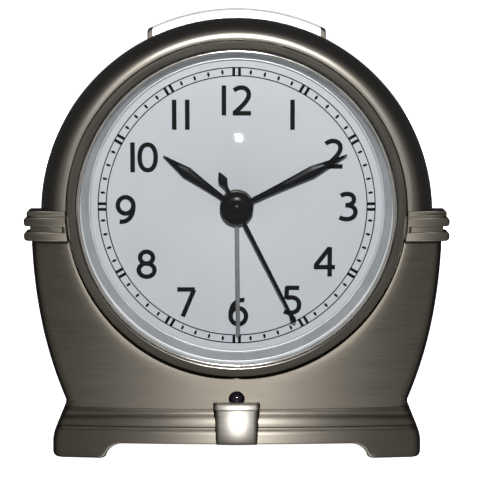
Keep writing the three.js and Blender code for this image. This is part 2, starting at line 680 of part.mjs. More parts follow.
const rotorMagnet = pin(ROTOR_AT, 2, ...LAYER.rotorMagnet);
const rotorArbor = pin(ROTOR_AT, 0.4, REAR_PIVOT, PIVOT_BACK, 10);
const rotorLeaf = gear(ROTOR_AT, LEAF, FINE_MODULE, rotorPhase, LAYER.rotorLeaf);
add('rotor', join(rotorLeaf, rotorMagnet, rotorArbor), steel());

// ---------------------------------------------------------------- hands
// A flat hand whose outline points run from the hub outwards, turned clockwise from twelve.
function hand(points, degrees, hub, bore, [d0, d1]) {
  const blade = slab(mirrored(points), d0, d1).rotate([0, degrees, 0]).translate([0, 0, DIAL_Z]);
  const made = join(blade, pin(CENTRE, hub, d0, d1, 24));
  return bore > 0 ? cut(made, pin(CENTRE, bore, d0 - 1, d1 + 1)) : made;
}

// A leaf shape: width at the root, widest part and its place, and the tip.
function leaf(rootHalf, widest, at, tip) {
  return [[rootHalf, 2], [widest * 0.62, at * 0.55], [widest, at], [0.12, tip]];
}

function secondsHand() {
  const [front, back] = LAYER.secondsHand;
  const blade = [[0.5, 0], [0.35, 29], [0.7, 30.7], [0.15, 31.7]];
  const tail = [[0.15, -9.8], [1.22, -7.6], [0.45, -5.8], [0.6, -2]];
  const body = join(
    hand(blade, SECONDS_ANGLE, HUB_R, 0, LAYER.secondsHand),
    hand(tail, SECONDS_ANGLE, HUB_R / 2, 0, LAYER.secondsHand),
  );
  const crown = [[0, -6], [1.6, -5.9], [2.2, -5.2], [3.5, -4.8], [HUB_R, front - 0.4]];
  return join(body, turned([...crown, [HUB_R, back], [0, back]], 0, DIAL_Z, 24));
}

const alarmPoints = [[0.55, 2.8], [0.55, 30.5], [0.1, 31.2]];
add('alarm_hand', hand(alarmPoints, ALARM_ANGLE, 3.9, 2.8, LAYER.alarmHand), silver());
add('hour_hand', hand(leaf(0.8, 1.4, 14.9, 21.9), HOUR_ANGLE, 3.6, 1.8, LAYER.hourHand), black());
add('minute_hand', hand(leaf(0.75, 1.42, 20.4, 29.9), MINUTE_ANGLE, 3, 0.8, LAYER.minuteHand), black());
add('seconds_hand', secondsHand(), black());

// ---------------------------------------------------------------- movement
const HOUSING_HALF = 26;
const HOUSING_WALL = 1.2;

function housingBox(d0, d1, half) {
  return block(-half, half, d0, d1, DIAL_Z - half, DIAL_Z + half);
}

function frontHousing() {
  const [front, back] = LAYER.frontHousing;
  const inside = housingBox(front + 1.1, back + LAP, HOUSING_HALF - HOUSING_WALL);
  const shell = cut(housingBox(front, back, HOUSING_HALF), inside);
  return cut(join(shell, pin(MINUTE_WHEEL_AT, 0.6, front + 0.5, 9)), pin(CENTRE, 3.7, 0, 6));
}

function rearHousing() {
  const [front, back] = LAYER.rearHousing;
  const inside = housingBox(front - LAP, back - 1.1, HOUSING_HALF - HOUSING_WALL);
  const shell = cut(housingBox(front, back, HOUSING_HALF), inside);
  return cut(shell, pin(TIME_SHAFT_AT, 1.5, 15, 25), pin(ALARM_SHAFT_AT, 1.5, 15, 25));
}

function middlePlate() {
  const plate = housingBox(...LAYER.middlePlate, HOUSING_HALF - HOUSING_WALL - 0.4);
  const holes = [[CENTRE, 0.9], [THIRD_AT, 0.8], [TIME_SHAFT_AT, 1.5], [ALARM_SHAFT_AT, 1.5]];
  return holes.reduce((left, [at, r]) => cut(left, pin(at, r, 5, 15)), plate);
}

// A closed iron loop: a ring round the rotor and a bar through the coil.
function stator() {
  const [x, z] = ROTOR_AT;
  const half = 6.5;
  const low = DIAL_Z - 21;
  const high = DIAL_Z - 10.5;
  const loop = join(
    pin(ROTOR_AT, 3.9, ...LAYER.stator, 24),
    block(x - half, x - 2.6, ...LAYER.stator, low, DIAL_Z + z),
    block(x + 2.8, x + half, ...LAYER.stator, low, high),
    block(x - half, x + half, ...LAYER.stator, low, low + 2.4),
  );
  const seat = block(x + 1, x + 5, ...LAYER.stator, high - 2.5, high);
  return cut(join(loop, seat), pin(ROTOR_AT, 2.5, 12, 16, 20));
}

function coil() {
  const [x] = ROTOR_AT;
  const z = DIAL_Z - 19.8;
  const [front, back] = LAYER.stator;
  const middle = (front + back) / 2;
  const winding = new THREE.CylinderGeometry(2.6, 2.6, 4.6, 14).rotateZ(Math.PI / 2);
  return cut(solid(winding.translate(x + 0.1, middle, z)), block(x - 5, x + 5, front - GAP, back + GAP, z - 1.55, z + 1.55));
}

function quartzCrystal() {
  const can = new THREE.CylinderGeometry(1, 1, 6, 12).rotateX(Math.PI / 2);
  return solid(can.translate(20, LAYER.chip[0], DIAL_Z - 15));
}

add('movement_front_housing', frontHousing(), whitePlastic());
add('movement_rear_housing', rearHousing(), whitePlastic());
add('movement_middle_plate', middlePlate(), whitePlastic());
add('stator', stator(), steel());
add('coil', coil(), copper());
add('circuit_board', block(4, 23.5, ...LAYER.circuitBoard, DIAL_Z - 23, DIAL_Z - 8.5), green());
add('chip', block(9, 14, ...LAYER.chip, DIAL_Z - 18, DIAL_Z - 13), black());
add('quartz_crystal', quartzCrystal(), silver());
add('alarm_contact', block(4.5, 22, ...LAYER.contact, DIAL_Z + 4, DIAL_Z + 6), brass());

// ---------------------------------------------------------------- back of the clock
function knob(at) {
  const [x, z] = at;
  const grip = new THREE.Shape();
  const lobes = 18;
  for (let k = 0; k < 2 * lobes; k += 1) {
    const r = k % 2 === 0 ? KNOB_R : KNOB_R - 0.4;
    const angle = (k * Math.PI) / lobes;
    grip[k === 0 ? 'moveTo' : 'lineTo'](r * Math.cos(angle), r * Math.sin(angle));
  }
  const made = slab(grip, COVER_BACK + 0.4, KNOB_BACK).translate([x, 0, z + DIAL_Z]);
  return cut(made, pin(at, 1.5, COVER_BACK, KNOB_BACK - 0.7));
}

function alarmSlider() {
  const neck = block(SWITCH_X - 4.7, SWITCH_X + 0.7, 35, COVER_BACK + 2, SWITCH_Z - 1.2, SWITCH_Z + 1.2);
  const inside = COVER_BACK - COVER_WALL - GAP;
  const flange = block(SWITCH_X - 10, SWITCH_X + 6, 34.2, inside, SWITCH_Z - 2.5, SWITCH_Z + 2.5);
  return join(neck, flange);
}

function battery() {
  const cell = new THREE.CylinderGeometry(BATTERY_R, BATTERY_R, 2 * BATTERY_HALF - 1.2, 24);
  const nub = new THREE.CylinderGeometry(2.7, 2.7, 3, 12).translate(0, BATTERY_HALF - 1, 0);
  const place = (part) => part.rotateZ(-Math.PI / 2).translate(0, BATTERY_DEPTH, BATTERY_Z);
  return join(solid(place(cell)), solid(place(nub)));
}

// A flat spring plate across the end of the battery, between two places along X.
function contactPlate(x0, x1) {
  return block(x0, x1, BATTERY_DEPTH - 5, BATTERY_DEPTH + 5, BATTERY_Z - 5.5, BATTERY_Z + 5.5);
}

function batterySpring() {
  const path = new Helix(-28.4, -25.4, 4.4, 2.6, 3, BATTERY_DEPTH, BATTERY_Z);
  const section = polygon([[0.3, 0], [0, 0.3], [-0.3, 0], [0, -0.3]]);
  const wire = new THREE.ExtrudeGeometry(section, { steps: 36, extrudePath: path, bevelEnabled: false });
  return join(solid(wire), contactPlate(-29.2, -28.2));
}

function batteryDoor() {
  const plate = block(-DOOR_HALF, DOOR_HALF, COVER_BACK - COVER_WALL + 0.2, COVER_BACK, DOOR_LOW, DOOR_HIGH);
  const grip = block(-5, 5, COVER_BACK - 0.8, COVER_BACK + LAP, DOOR_HIGH - 3.5, DOOR_HIGH - 1.6);
  return cut(plate, grip);
}

const BUZZER_DEPTHS = [27, COVER_BACK - COVER_WALL - 0.4];

add('time_set_knob', knob(TIME_SHAFT_AT), black());
add('alarm_set_knob', knob(ALARM_SHAFT_AT), black());
add('alarm_switch_slider', alarmSlider(), whitePlastic());
add('alarm_switch', block(SWITCH_X - 7, SWITCH_X + 7, 30, 33.9, SWITCH_Z - 2, SWITCH_Z + 2), black());
add('buzzer', tube(BUZZER_X, BUZZER_Z, 1, BUZZER_R, ...BUZZER_DEPTHS, 24), black());
add('battery', battery(), finish(0x3d5a80, 0.4, 0.3));
add('battery_spring', batterySpring(), silver());
add('battery_contact', contactPlate(26.4, 27), silver());
add('battery_door', batteryDoor(), darkPlastic());

export default clock;
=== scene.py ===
import json
from math import copysign, cos, pi, radians, sin, sqrt, tan

import bmesh
import bpy
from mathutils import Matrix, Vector

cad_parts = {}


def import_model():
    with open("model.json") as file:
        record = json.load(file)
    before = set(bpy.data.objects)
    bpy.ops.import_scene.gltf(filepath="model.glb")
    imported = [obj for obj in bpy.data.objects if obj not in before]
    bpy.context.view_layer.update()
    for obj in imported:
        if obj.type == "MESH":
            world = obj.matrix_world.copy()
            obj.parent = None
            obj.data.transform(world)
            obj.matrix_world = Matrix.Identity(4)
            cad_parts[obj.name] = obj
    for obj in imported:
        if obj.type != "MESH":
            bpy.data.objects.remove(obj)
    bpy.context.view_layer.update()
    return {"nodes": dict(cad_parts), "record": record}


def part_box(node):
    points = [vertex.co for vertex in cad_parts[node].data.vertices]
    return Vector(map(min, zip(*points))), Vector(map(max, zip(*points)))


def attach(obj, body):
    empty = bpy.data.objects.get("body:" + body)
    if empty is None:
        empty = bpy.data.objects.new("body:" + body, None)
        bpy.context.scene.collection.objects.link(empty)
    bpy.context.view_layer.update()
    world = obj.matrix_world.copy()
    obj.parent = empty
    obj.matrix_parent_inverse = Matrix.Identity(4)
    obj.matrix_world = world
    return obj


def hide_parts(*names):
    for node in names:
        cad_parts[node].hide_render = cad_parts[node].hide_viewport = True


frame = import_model()

# Sizes below are in millimetres. Depths are counted from the front face of the dial, to the back.
MM = 0.001


def centre_of(low, high):
    """Middle of a box, across and up."""
    return (low[0] + high[0]) / 2 / MM, (low[2] + high[2]) / 2 / MM


dial_low, dial_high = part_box("dial")
DIAL_Z = centre_of(dial_low, dial_high)[1]
FACE_Y = dial_low[1] / MM
case_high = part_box("front_case")[1]
CASE_BACK = case_high[1] / MM - FACE_Y
LUG_HALF = case_high[0] / MM
ARCH_R = 48.2
ARCH_Z = case_high[2] / MM - ARCH_R
OPENING_R = 41.6
OPENING_Z = DIAL_Z - 0.7  # the opening sits a little low round the dial, and the bezel less so
OPENING_BACK = -1.5  # depth at which the wall round the opening ends
BEZEL_R = 40.95
BEZEL_Z = DIAL_Z - 0.3
FRONT = -5.2  # depth of the body's front on the middle line
BOW, BOW_HALF = 3.4, 52.0  # how far the front curves back, at that half width
CREASE_Z = 12.2  # crease between the body and the base
# Half width and height of the points that shape the curved side of the body.
SHOULDER = (50.4, 52.4)
BEND = (49.6, 31.0)
WAIST = (42.4, 14.0)
BASE_HALF, FLOOR_Z = 45.5, 3.8  # half width of the base, and height of its underside between the feet
SENSOR_Z = centre_of(*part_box("light_sensor"))[1]
CASE = "case"  # the body that the housing rides on
HOUSING = (CASE, "pewter_case", ["front_case"])
COVER = (CASE, "black_plastic", ["rear_cover"])


def point(x, depth, z):
    return Vector((x * MM, (FACE_Y + depth) * MM, z * MM))


def shares(steps, first=0):
    """Even steps up to 1, from 0 or from a later step."""
    return [i / steps for i in range(first, steps + 1)]


def depths_of(low, high):
    """Front and back of a box, as depths."""
    return low[1] / MM - FACE_Y, high[1] / MM - FACE_Y


def bowed(depth, x):
    """Depth of a front that is curved in plan."""
    return depth + BOW * (x / BOW_HALF) ** 2


# ---- materials
NOISE_LOW, NOISE_HIGH = 0.3, 0.7  # the part of a noise that is stretched over a whole range


class Nodes:
    """Short ways to add nodes to the tree of a material or a world."""

    def __init__(self, owner):
        owner.use_nodes = True
        self.tree = owner.node_tree

    @staticmethod
    def set(node, **values):
        for key, value in values.items():
            node.inputs[key].default_value = value

    def node(self, kind, **values):
        made = self.tree.nodes.new("ShaderNode" + kind)
        for key, value in values.items():
            setattr(made, key, value)
        return made

    def link(self, source, target):
        self.tree.links.new(source, target)

    def math(self, operation, a, b=None):
        made = self.node("Math", operation=operation)
        for socket, value in zip(made.inputs, (a, b)):
            if isinstance(value, (int, float)):
                socket.default_value = value
            elif value is not None:
                self.link(value, socket)
        return made.outputs[0]

    def choice(self, share, first, second):
        """Mixes the second shader into the first, by a share."""
        made = self.node("MixShader")
        for source, socket in zip((share, first.outputs[0], second.outputs[0]), made.inputs):
            self.link(source, socket)
        return made

    def ramp(self, value, stops):
        """Output of a colour ramp with two (position, colour) stops."""
        made = self.node("ValToRGB")
        for element, (position, color) in zip(made.color_ramp.elements, stops):
            element.position, element.color = position, (*color, 1)
        self.link(value, made.inputs[0])
        return made.outputs[0]


class Shader(Nodes):
    """A material with one Principled node."""

    def __init__(self, name, color, metallic=0.0, roughness=0.5, **sockets):
        self.material = bpy.data.materials.new(name)
        super().__init__(self.material)
        self.bsdf = self.tree.nodes["Principled BSDF"]
        self.color = color
        self.set(self.bsdf, **{"Base Color": (*color, 1), "Metallic": metallic, "Roughness": roughness})
        self.set(self.bsdf, **{key.replace("_", " "): value for key, value in sockets.items()})

    def place(self):
        return self.node("TexCoord").outputs["Object"]

    def mixed(self, a, b, share):
        """That share of a, and the rest of b."""
        return self.math("ADD", self.math("MULTIPLY", a, share), self.math("MULTIPLY", b, 1 - share))

    def noise(self, vector, scale, detail, stretch=(1, 1, 1)):
        mapping = self.node("Mapping")
        mapping.inputs["Scale"].default_value = stretch
        self.link(vector, mapping.inputs["Vector"])
        made = self.node("TexNoise")
        self.set(made, Scale=scale, Detail=detail)
        self.link(mapping.outputs[0], made.inputs["Vector"])
        return made.outputs["Fac"]

    def spread(self, value, low, high, target):
        """Stretches a noise over low to high, and links it to the target socket."""
        made = self.node("MapRange")
        self.set(made, **{"From Min": NOISE_LOW, "From Max": NOISE_HIGH, "To Min": low, "To Max": high})
        self.link(value, made.inputs["Value"])
        self.link(made.outputs[0], target)

    def tint(self, value, low, high):
        """Colour from low to high times the base colour, by a noise."""
        dark, light = [[min(1, c * share) for c in self.color] for share in (low, high)]
        stops = ((NOISE_LOW, dark), (NOISE_HIGH, light))
        self.link(self.ramp(value, stops), self.bsdf.inputs["Base Color"])

    def bump(self, value, strength, distance):
        made = self.node("Bump")
        self.set(made, Strength=strength, Distance=distance)
        self.link(value, made.inputs["Height"])
        self.link(made.outputs[0], self.bsdf.inputs["Normal"])

    def polar(self, centre_z):
        """Radius, depth and turn about a line along Y, as one vector in metres."""
        metres_a_radian = 0.04
        split = self.node("SeparateXYZ")
        self.link(self.place(), split.inputs[0])
        x, y, z = split.outputs
        up = self.math("SUBTRACT", z, centre_z)
        square = self.math("ADD", self.math("MULTIPLY", x, x), self.math("MULTIPLY", up, up))
        turn = self.math("MULTIPLY", self.math("ARCTAN2", x, up), metres_a_radian)
        joined = self.node("CombineXYZ")
        for value, socket in zip((self.math("SQRT", square), y, turn), joined.inputs):
            self.link(value, socket)
        return joined.outputs[0]


def brushed_metal(name, color, roughness, centre_z=None, streak=1.0, across=0.0):
    """Metal brushed level, or round a centre of a given height. across spreads the gloss up and down."""
    made = Shader(name, color, metallic=1.0, roughness=roughness, Anisotropic=across)
    if across:
        upright = made.node("CombineXYZ")
        made.set(upright, Z=1)
        made.link(upright.outputs[0], made.bsdf.inputs["Tangent"])
    if centre_z is None:
        vector, fine, broad = made.place(), (0.02, 0.02, 1), (0.05, 0.05, 1)
    else:
        vector, fine, broad = made.polar(centre_z), (1, 1, 0.02), (1, 1, 0.06)
    lines = made.noise(vector, scale=5200, detail=2.0, stretch=fine)
    patches = made.noise(vector, scale=420, detail=3.0, stretch=broad)
    stain = made.noise(made.place(), scale=60, detail=4.0)
    smooth, rough = roughness - 0.05 * streak, roughness + 0.06 * streak
    made.spread(made.mixed(lines, patches, 0.8), smooth, rough, made.bsdf.inputs["Roughness"])
    made.tint(made.mixed(patches, stain, 0.3), low=0.94, high=1.05)
    made.bump(lines, strength=0.2 * streak, distance=0.00002)
    return made.material


def moulded(name, color, roughness, grain=0.00003, scale=5200, mottle=0.1, **sockets):
    """Moulded plastic with a fine spark-eroded grain, slightly uneven gloss and colour."""
    made = Shader(name, color, roughness=roughness, **sockets)
    grains = made.noise(made.place(), scale, detail=2.0)
    cloud = made.noise(made.place(), scale=90, detail=4.0)
    made.spread(cloud, roughness - 0.05, roughness + 0.07, made.bsdf.inputs["Roughness"])
    made.tint(cloud, 1 - mottle, 1 + mottle)
    made.bump(grains, strength=0.5, distance=grain)
    return made.material


def satin(name, color, roughness, metallic=1.0, **sockets):
    """Plain satin or polished metal with faint clouding and handling marks."""
    made = Shader(name, color, metallic=metallic, roughness=roughness, **sockets)
    cloud = made.noise(made.place(), scale=140, detail=4.0)
    marks = made.noise(made.place(), scale=900, detail=2.0, stretch=(1, 0.3, 0.2))
    smooth, rough = max(0.02, roughness - 0.05), roughness + 0.06
    made.spread(made.mixed(cloud, marks, 0.6), smooth, rough, made.bsdf.inputs["Roughness"])
    made.tint(cloud, low=0.93, high=1.06)
    return made.material


def clear_lens():
    """Clear crystal: what is behind shows through, with a gloss that grows towards the rim."""
    straight_gloss, rim_gloss, falloff = 0.018, 0.9, 5
    made = Shader("lens_crystal", (1, 1, 1))
    smear = made.noise(made.place(), scale=120, detail=3.0)
    gloss = made.node("BsdfGlossy")
    made.spread(smear, 0.012, 0.03, gloss.inputs["Roughness"])
    see = made.node("BsdfTransparent")
    made.set(see, Color=(0.985, 0.99, 0.992, 1))
    weight = made.node("LayerWeight")
    made.set(weight, Blend=0.5)
    grazing = made.math("POWER", weight.outputs["Facing"], falloff)
    share = made.math("ADD", made.math("MULTIPLY", grazing, rim_gloss), straight_gloss)
    made.tree.nodes.remove(made.bsdf)
    output = made.tree.nodes["Material Output"]
    made.link(made.choice(share, see, gloss).outputs[0], output.inputs["Surface"])
    return made.material


M_BODY = brushed_metal("pewter_body", (0.226, 0.206, 0.173), 0.62, across=0.99)
M_BASE = brushed_metal("pewter_base", (0.195, 0.178, 0.15), 0.42, across=0.97)
M_ARCH = brushed_metal("pewter_arch", (0.215, 0.2, 0.176), 0.3, ARCH_Z * MM)
M_BEZEL = brushed_metal("bezel_brushed", (0.125, 0.116, 0.104), 0.21, DIAL_Z * MM, streak=0.9)
M_KEY = brushed_metal("pewter_keystone", (0.26, 0.245, 0.22), 0.36, across=0.85)
M_LIP = satin("polished_lip", (0.78, 0.76, 0.73), 0.12)
M_SILVER = satin("satin_silver", (0.8, 0.8, 0.79), 0.3)
M_SNOOZE = satin("snooze_silver", (0.92, 0.92, 0.91), 0.35, metallic=0.3)
M_CONE = satin("cone_silver", (0.54, 0.55, 0.56), 0.4, metallic=0.55)
M_ALARM = satin("alarm_hand_grey", (0.3, 0.3, 0.31), 0.35, metallic=0.8)
M_HAND = satin("hand_gloss_black", (0.003, 0.0035, 0.006), 0.22, metallic=0, Specular_IOR_Level=0.06)
M_INK = moulded("dial_ink", (0.003, 0.0035, 0.005), 0.6, grain=0.000005, Specular_IOR_Level=0.05)
M_DIAL = moulded("dial_paint", (0.54, 0.56, 0.586), 0.5, grain=0.000004, scale=2600, mottle=0.02)
M_BLACK = moulded("black_plastic", (0.034, 0.0345, 0.036), 0.5)
M_GLOSS = satin("sensor_window", (0.012, 0.008, 0.014), 0.08, metallic=0)
M_WHITE = moulded("natural_plastic", (0.74, 0.73, 0.69), 0.45, grain=0.00001)
M_STEEL = satin("zinc_steel", (0.56, 0.57, 0.59), 0.28)
M_BRASS = satin("bare_brass", (0.66, 0.5, 0.24), 0.3)
M_COPPER = brushed_metal("copper_winding", (0.6, 0.28, 0.12), 0.35)
M_GREEN = moulded("board_green", (0.03, 0.16, 0.07), 0.35, grain=0.00001)
M_SLEEVE = satin("battery_sleeve", (0.06, 0.12, 0.26), 0.3, metallic=0.4)
M_LENS = clear_lens()


# ---- mesh building
SHARP = 32  # edges that turn by more degrees than this stay crisp
STRAIGHT = 3.1  # a corner whose sides are more radians apart than this has nothing to round


def put(name, data):
    """Adds an object to the scene."""
    made = bpy.data.objects.new(name, data)
    bpy.context.scene.collection.objects.link(made)
    return made


def piece(name, bm, material, body, slot, replaces=(), sharp=SHARP):
    """Makes a mesh object from bm, rides it on a body and hides the CAD parts that it replaces."""
    bmesh.ops.remove_doubles(bm, verts=bm.verts, dist=1e-7)
    bmesh.ops.recalc_face_normals(bm, faces=bm.faces)
    mesh = bpy.data.meshes.new(name)
    bm.to_mesh(mesh)
    bm.free()
    mesh.shade_smooth()
    mesh.set_sharp_from_angle(angle=radians(sharp))
    mesh.materials.append(material)
    made = put(name, mesh)
    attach(made, body)
    if replaces:
        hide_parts(*replaces)
    return made


def loft(bm, sections, loop=False, capped=True):
    """Skins closed sections of equally many points. With loop, the last one joins the first."""
    rows = [[bm.verts.new(p) for p in section] for section in sections]
    count = len(rows[0])
    pairs = list(zip(rows, rows[1:])) + ([(rows[-1], rows[0])] if loop else [])
    for a, b in pairs:
        for k in range(count):
            n = (k + 1) % count
            bm.faces.new((a[k], a[n], b[n], b[k]))
    if capped and not loop:
        bm.faces.new(rows[0])
        bm.faces.new(rows[-1])
    return rows


def lathe(bm, profile, x=0.0, z=DIAL_Z, steps=144):
    """Turns (radius, depth) points about a line along Y. A profile off the axis closes on itself."""
    rings = []
    for r, depth in profile:
        if r < 1e-6:
            rings.append([bm.verts.new(point(x, depth, z))])
            continue
        angles = [2 * pi * k / steps for k in range(steps)]
        rings.append([bm.verts.new(point(x + r * cos(a), depth, z + r * sin(a))) for a in angles])
    on_axis = len(rings[0]) == 1
    pairs = zip(rings, rings[1:]) if on_axis else zip(rings, rings[1:] + rings[:1])
    for a, b in pairs:
        for k in range(steps):
            n = (k + 1) % steps
            corners = [a[k % len(a)], a[n % len(a)], b[n % len(b)], b[k % len(b)]]
            unique = list(dict.fromkeys(corners))
            if len(unique) > 2:
                bm.faces.new(unique)


def fresh(build, *shape, **options):
    """A new mesh that starts with one shape."""
    bm = bmesh.new()
    build(bm, *shape, **options)
    return bm


def rod(bm, radius, d0, d1, x, z, steps):
    """A round rod along Y, mostly to drill with."""
    lathe(bm, [(0, d0), (radius, d0), (radius, d1), (0, d1)], x, z, steps)


def rounded(corners, radius, steps=5):
    """A closed polygon's corners as arcs. A corner may carry its own radius as a third number."""
    made = []
    count = len(corners)
    for k, corner in enumerate(corners):
        here = Vector(corner[:2])
        r = corner[2] if len(corner) > 2 else radius
        before = Vector(corners[k - 1][:2]) - here
        after = Vector(corners[(k + 1) % count][:2]) - here
        if r <= 0 or before.angle(after) > STRAIGHT:
            made.append(tuple(here))
            continue
        half = before.angle(after) / 2
        reach = min(r / tan(half), 0.49 * before.length, 0.49 * after.length)
        start, end = here + before.normalized() * reach, here + after.normalized() * reach
        for u in shares(steps):
            made.append(tuple(start * (1 - u) ** 2 + here * (2 * u * (1 - u)) + end * u ** 2))
    return made


def slab(bm, outline, d0, d1, bevel=0.0, segments=3):
    """Extrudes an outline of (x, z) points from depth d0 to d1, with round edges at both ends."""
    ends = loft(bm, [[point(x, depth, z) for x, z in outline] for depth in (d0, d1)])
    bmesh.ops.recalc_face_normals(bm, faces=bm.faces)
    if bevel:
        rims = [set(end) for end in ends]
        edges = [edge for edge in bm.edges if any(rim.issuperset(edge.verts) for rim in rims)]
        bmesh.ops.bevel(bm, geom=edges, offset=bevel * MM, segments=segments, profile=0.5, affect="EDGES")


def box_outline(x0, x1, z0, z1):
    return [(x0, z0), (x1, z0), (x1, z1), (x0, z1)]


def round_box(x0, x1, z0, z1, radius):
    return rounded(box_outline(x0, x1, z0, z1), radius)


def cut(made, cutter_mesh):
    """Takes a mesh away from a piece."""
    mesh = bpy.data.meshes.new("cutter")
    bmesh.ops.recalc_face_normals(cutter_mesh, faces=cutter_mesh.faces)
    cutter_mesh.to_mesh(mesh)
    cutter_mesh.free()
    tool = put("cutter", mesh)
    modifier = made.modifiers.new("cut", "BOOLEAN")
    modifier.operation, modifier.solver, modifier.object = "DIFFERENCE", "EXACT", tool
    modifier.use_self = True
    depsgraph = bpy.context.evaluated_depsgraph_get()
    result = bpy.data.meshes.new_from_object(made.evaluated_get(depsgraph))
    made.modifiers.clear()
    old, made.data = made.data, result
    bpy.data.meshes.remove(old)
    bpy.data.objects.remove(tool)
    bpy.data.meshes.remove(mesh)
    result.shade_smooth()
    result.set_sharp_from_angle(angle=radians(SHARP))


# ---- case
def flare_half(z):
    """Half width of the base at a height: swelling from the waist to an upright, rounded foot."""
    top, reach, corner = 13.3, 9.6, 1.5
    share = min(1, max(0, (top - z) / reach))
    half = WAIST[0] + (BASE_HALF - WAIST[0]) * sin(share * pi / 2) ** 1.35
    if z < corner:
        half -= corner - sqrt(corner ** 2 - (corner - z) ** 2)
    return half


def level(x, z):
    """Height of a moulding at x: towards the middle the crease hangs down and the upper groove rises."""
    stops = [(6.5, 0), (7.7, -0.2), (10.3, 0.5), (CREASE_Z, -0.25), (14, -0.25)]
    shift = 0
    for (z0, shift0), (z1, shift1) in zip(stops, stops[1:]):
        if z0 <= z <= z1:
            shift = shift0 + (shift1 - shift0) * (z - z0) / (z1 - z0)
    return z + shift * (1 - (x / WAIST[0]) ** 2)


def side_curve(steps):
    """Curved side of the body, from the shoulder down to the waist."""
    made = []
    for u in shares(steps):
        v = 1 - u
        made.append(tuple(SHOULDER[k] * v * v + BEND[k] * 2 * u * v + WAIST[k] * u * u for k in (0, 1)))
    return made


def case_arch():
    """Bullnose ring over the dial, with the sides of the case behind it."""
    flat, drop = 0.11, 6.0  # share of the width that is level, and how far the rest rounds back
    profile = [(0, OPENING_BACK), (0, -5.0), (0.008, -5.15)]
    for u in shares(14):
        a = pi / 2 * u
        profile.append((flat + (1 - flat) * sin(a), FRONT + drop * (1 - cos(a))))
    profile += [(1, CASE_BACK - 0.35), (0.985, CASE_BACK - 0.1), (0.94, CASE_BACK)]
    profile += [(0.55, CASE_BACK), (0.55, OPENING_BACK)]
    sections = []
    overrun = radians(5)  # past level, down behind the lugs
    for u in shares(132):
        angle = -overrun + (pi + 2 * overrun) * u
        x0, z0 = OPENING_R * cos(angle), OPENING_Z + OPENING_R * sin(angle)
        x1, z1 = ARCH_R * cos(angle), ARCH_Z + ARCH_R * sin(angle)
        sections.append([point(x0 + (x1 - x0) * s, depth, z0 + (z1 - z0) * s) for s, depth in profile])
    made = piece("case_arch", fresh(loft, sections), M_ARCH, CASE, "pewter_case")
    slot_half, below, above = 22.3, 90, 120  # the slot that the snooze bar sinks into
    cut(made, fresh(slab, round_box(-slot_half, slot_half, below, above, 0.8), 7, 17))


def body_section(x, z, outer_round):
    """One loop through the shell wall, from the opening out to (x, z)."""
    dish_width, dish = 3, 0.14  # the front sinks by dish towards the opening
    inner_round = 0.3
    out = Vector((x, z - OPENING_Z))
    reach, line = out.length, out.normalized()
    samples = [(OPENING_R, inner_round)]  # radius, and how far behind the bowed front
    for u in shares(4, 1):
        a = pi / 2 * u
        samples.append((OPENING_R + inner_round * (1 - cos(a)), inner_round * (1 - sin(a))))
    low, high = OPENING_R + inner_round, reach - outer_round
    samples += [(low + (high - low) * i / 12, 0) for i in range(1, 12)]
    for u in shares(6):
        a = pi / 2 * u
        samples.append((high + outer_round * sin(a), outer_round * (1 - cos(a))))
    rows = [(OPENING_R, OPENING_BACK)]
    for r, recess in samples:
        recess += dish * max(0, (OPENING_R + dish_width - r) / dish_width) ** 2
        rows.append((r, bowed(FRONT, line.x * r) + recess))
    wall = 2.5
    rows += [(reach, CASE_BACK - 0.35), (reach - 0.35, CASE_BACK)]
    rows += [(reach - wall, CASE_BACK), (reach - wall, -0.6)]
    return [point(line.x * r, depth, OPENING_Z + line.y * r) for r, depth in rows]


def case_body():
    """Front of the case below the lugs: round the opening, down the sides and along the crease."""
    side_round, crease_round, steps = 1.25, 0.35, 40
    right = [(SHOULDER[0], 57.0), (SHOULDER[0], 54.5)] + side_curve(34)
    right += [(flare_half(z), z) for z in (13.3, 12.7, CREASE_Z)]
    corner_x = right[-1][0]
    across = [corner_x * (1 - 2 * i / steps) for i in range(1, steps)]
    sections = [body_section(x, z, side_round) for x, z in right]
    sections += [body_section(x, level(x, CREASE_Z), crease_round) for x in across]
    sections += [body_section(-x, z, side_round) for x, z in reversed(right)]
    made = piece("case_body", fresh(loft, sections), M_BODY, *HOUSING)
    cut(made, fresh(rod, 2, -9, 0, 0, SENSOR_Z, 40))


COVE_X, COVE_R = 28.1, 4.5  # centre and radius of the cove on the inner side of a foot
TOE_HEIGHT, TOE_LENGTH = 1.3, 2.9  # oval rounding between the cove and the sole
TOE_X = COVE_X + sqrt(COVE_R ** 2 - (TOE_HEIGHT - FLOOR_Z + COVE_R) ** 2)
EDGE_ROUND = 1.1  # rounding of the base's two upright edges


def foot_edge(x):
    """Lower edge of the base at x: the foot, its rounded toe, a cove, and the raised middle."""
    if abs(x) >= TOE_X + TOE_LENGTH:
        return 0.0
    if abs(x) >= TOE_X:
        return TOE_HEIGHT * (1 - sqrt(max(0, 1 - (1 - (abs(x) - TOE_X) / TOE_LENGTH) ** 2)))
    if abs(x) <= COVE_X:
        return FLOOR_Z
    return FLOOR_Z - COVE_R + sqrt(COVE_R ** 2 - (abs(x) - COVE_X) ** 2)


def base_columns():
    """Places across the base: (kind, side, distance from the edge or place across)."""
    insets = [0.0, 0.04, 0.15, 0.35, 0.65, EDGE_ROUND]
    flat = BASE_HALF - EDGE_ROUND
    cove = [COVE_X + (TOE_X - COVE_X) * sin(pi / 2 * u) for u in shares(12)]
    toe = [TOE_X + TOE_LENGTH * (1 - cos(pi / 2 * u)) for u in shares(8)]
    spans = sorted({round(x, 3) for x in [flat * u for u in shares(60)] + cove + toe})
    left = [("edge", -1, inset) for inset in insets] + [("span", -1, x) for x in reversed(spans[1:-1])]
    right = [("span", 1, x) for x in spans[:-1]] + [("edge", 1, inset) for inset in reversed(insets)]
    return left + right


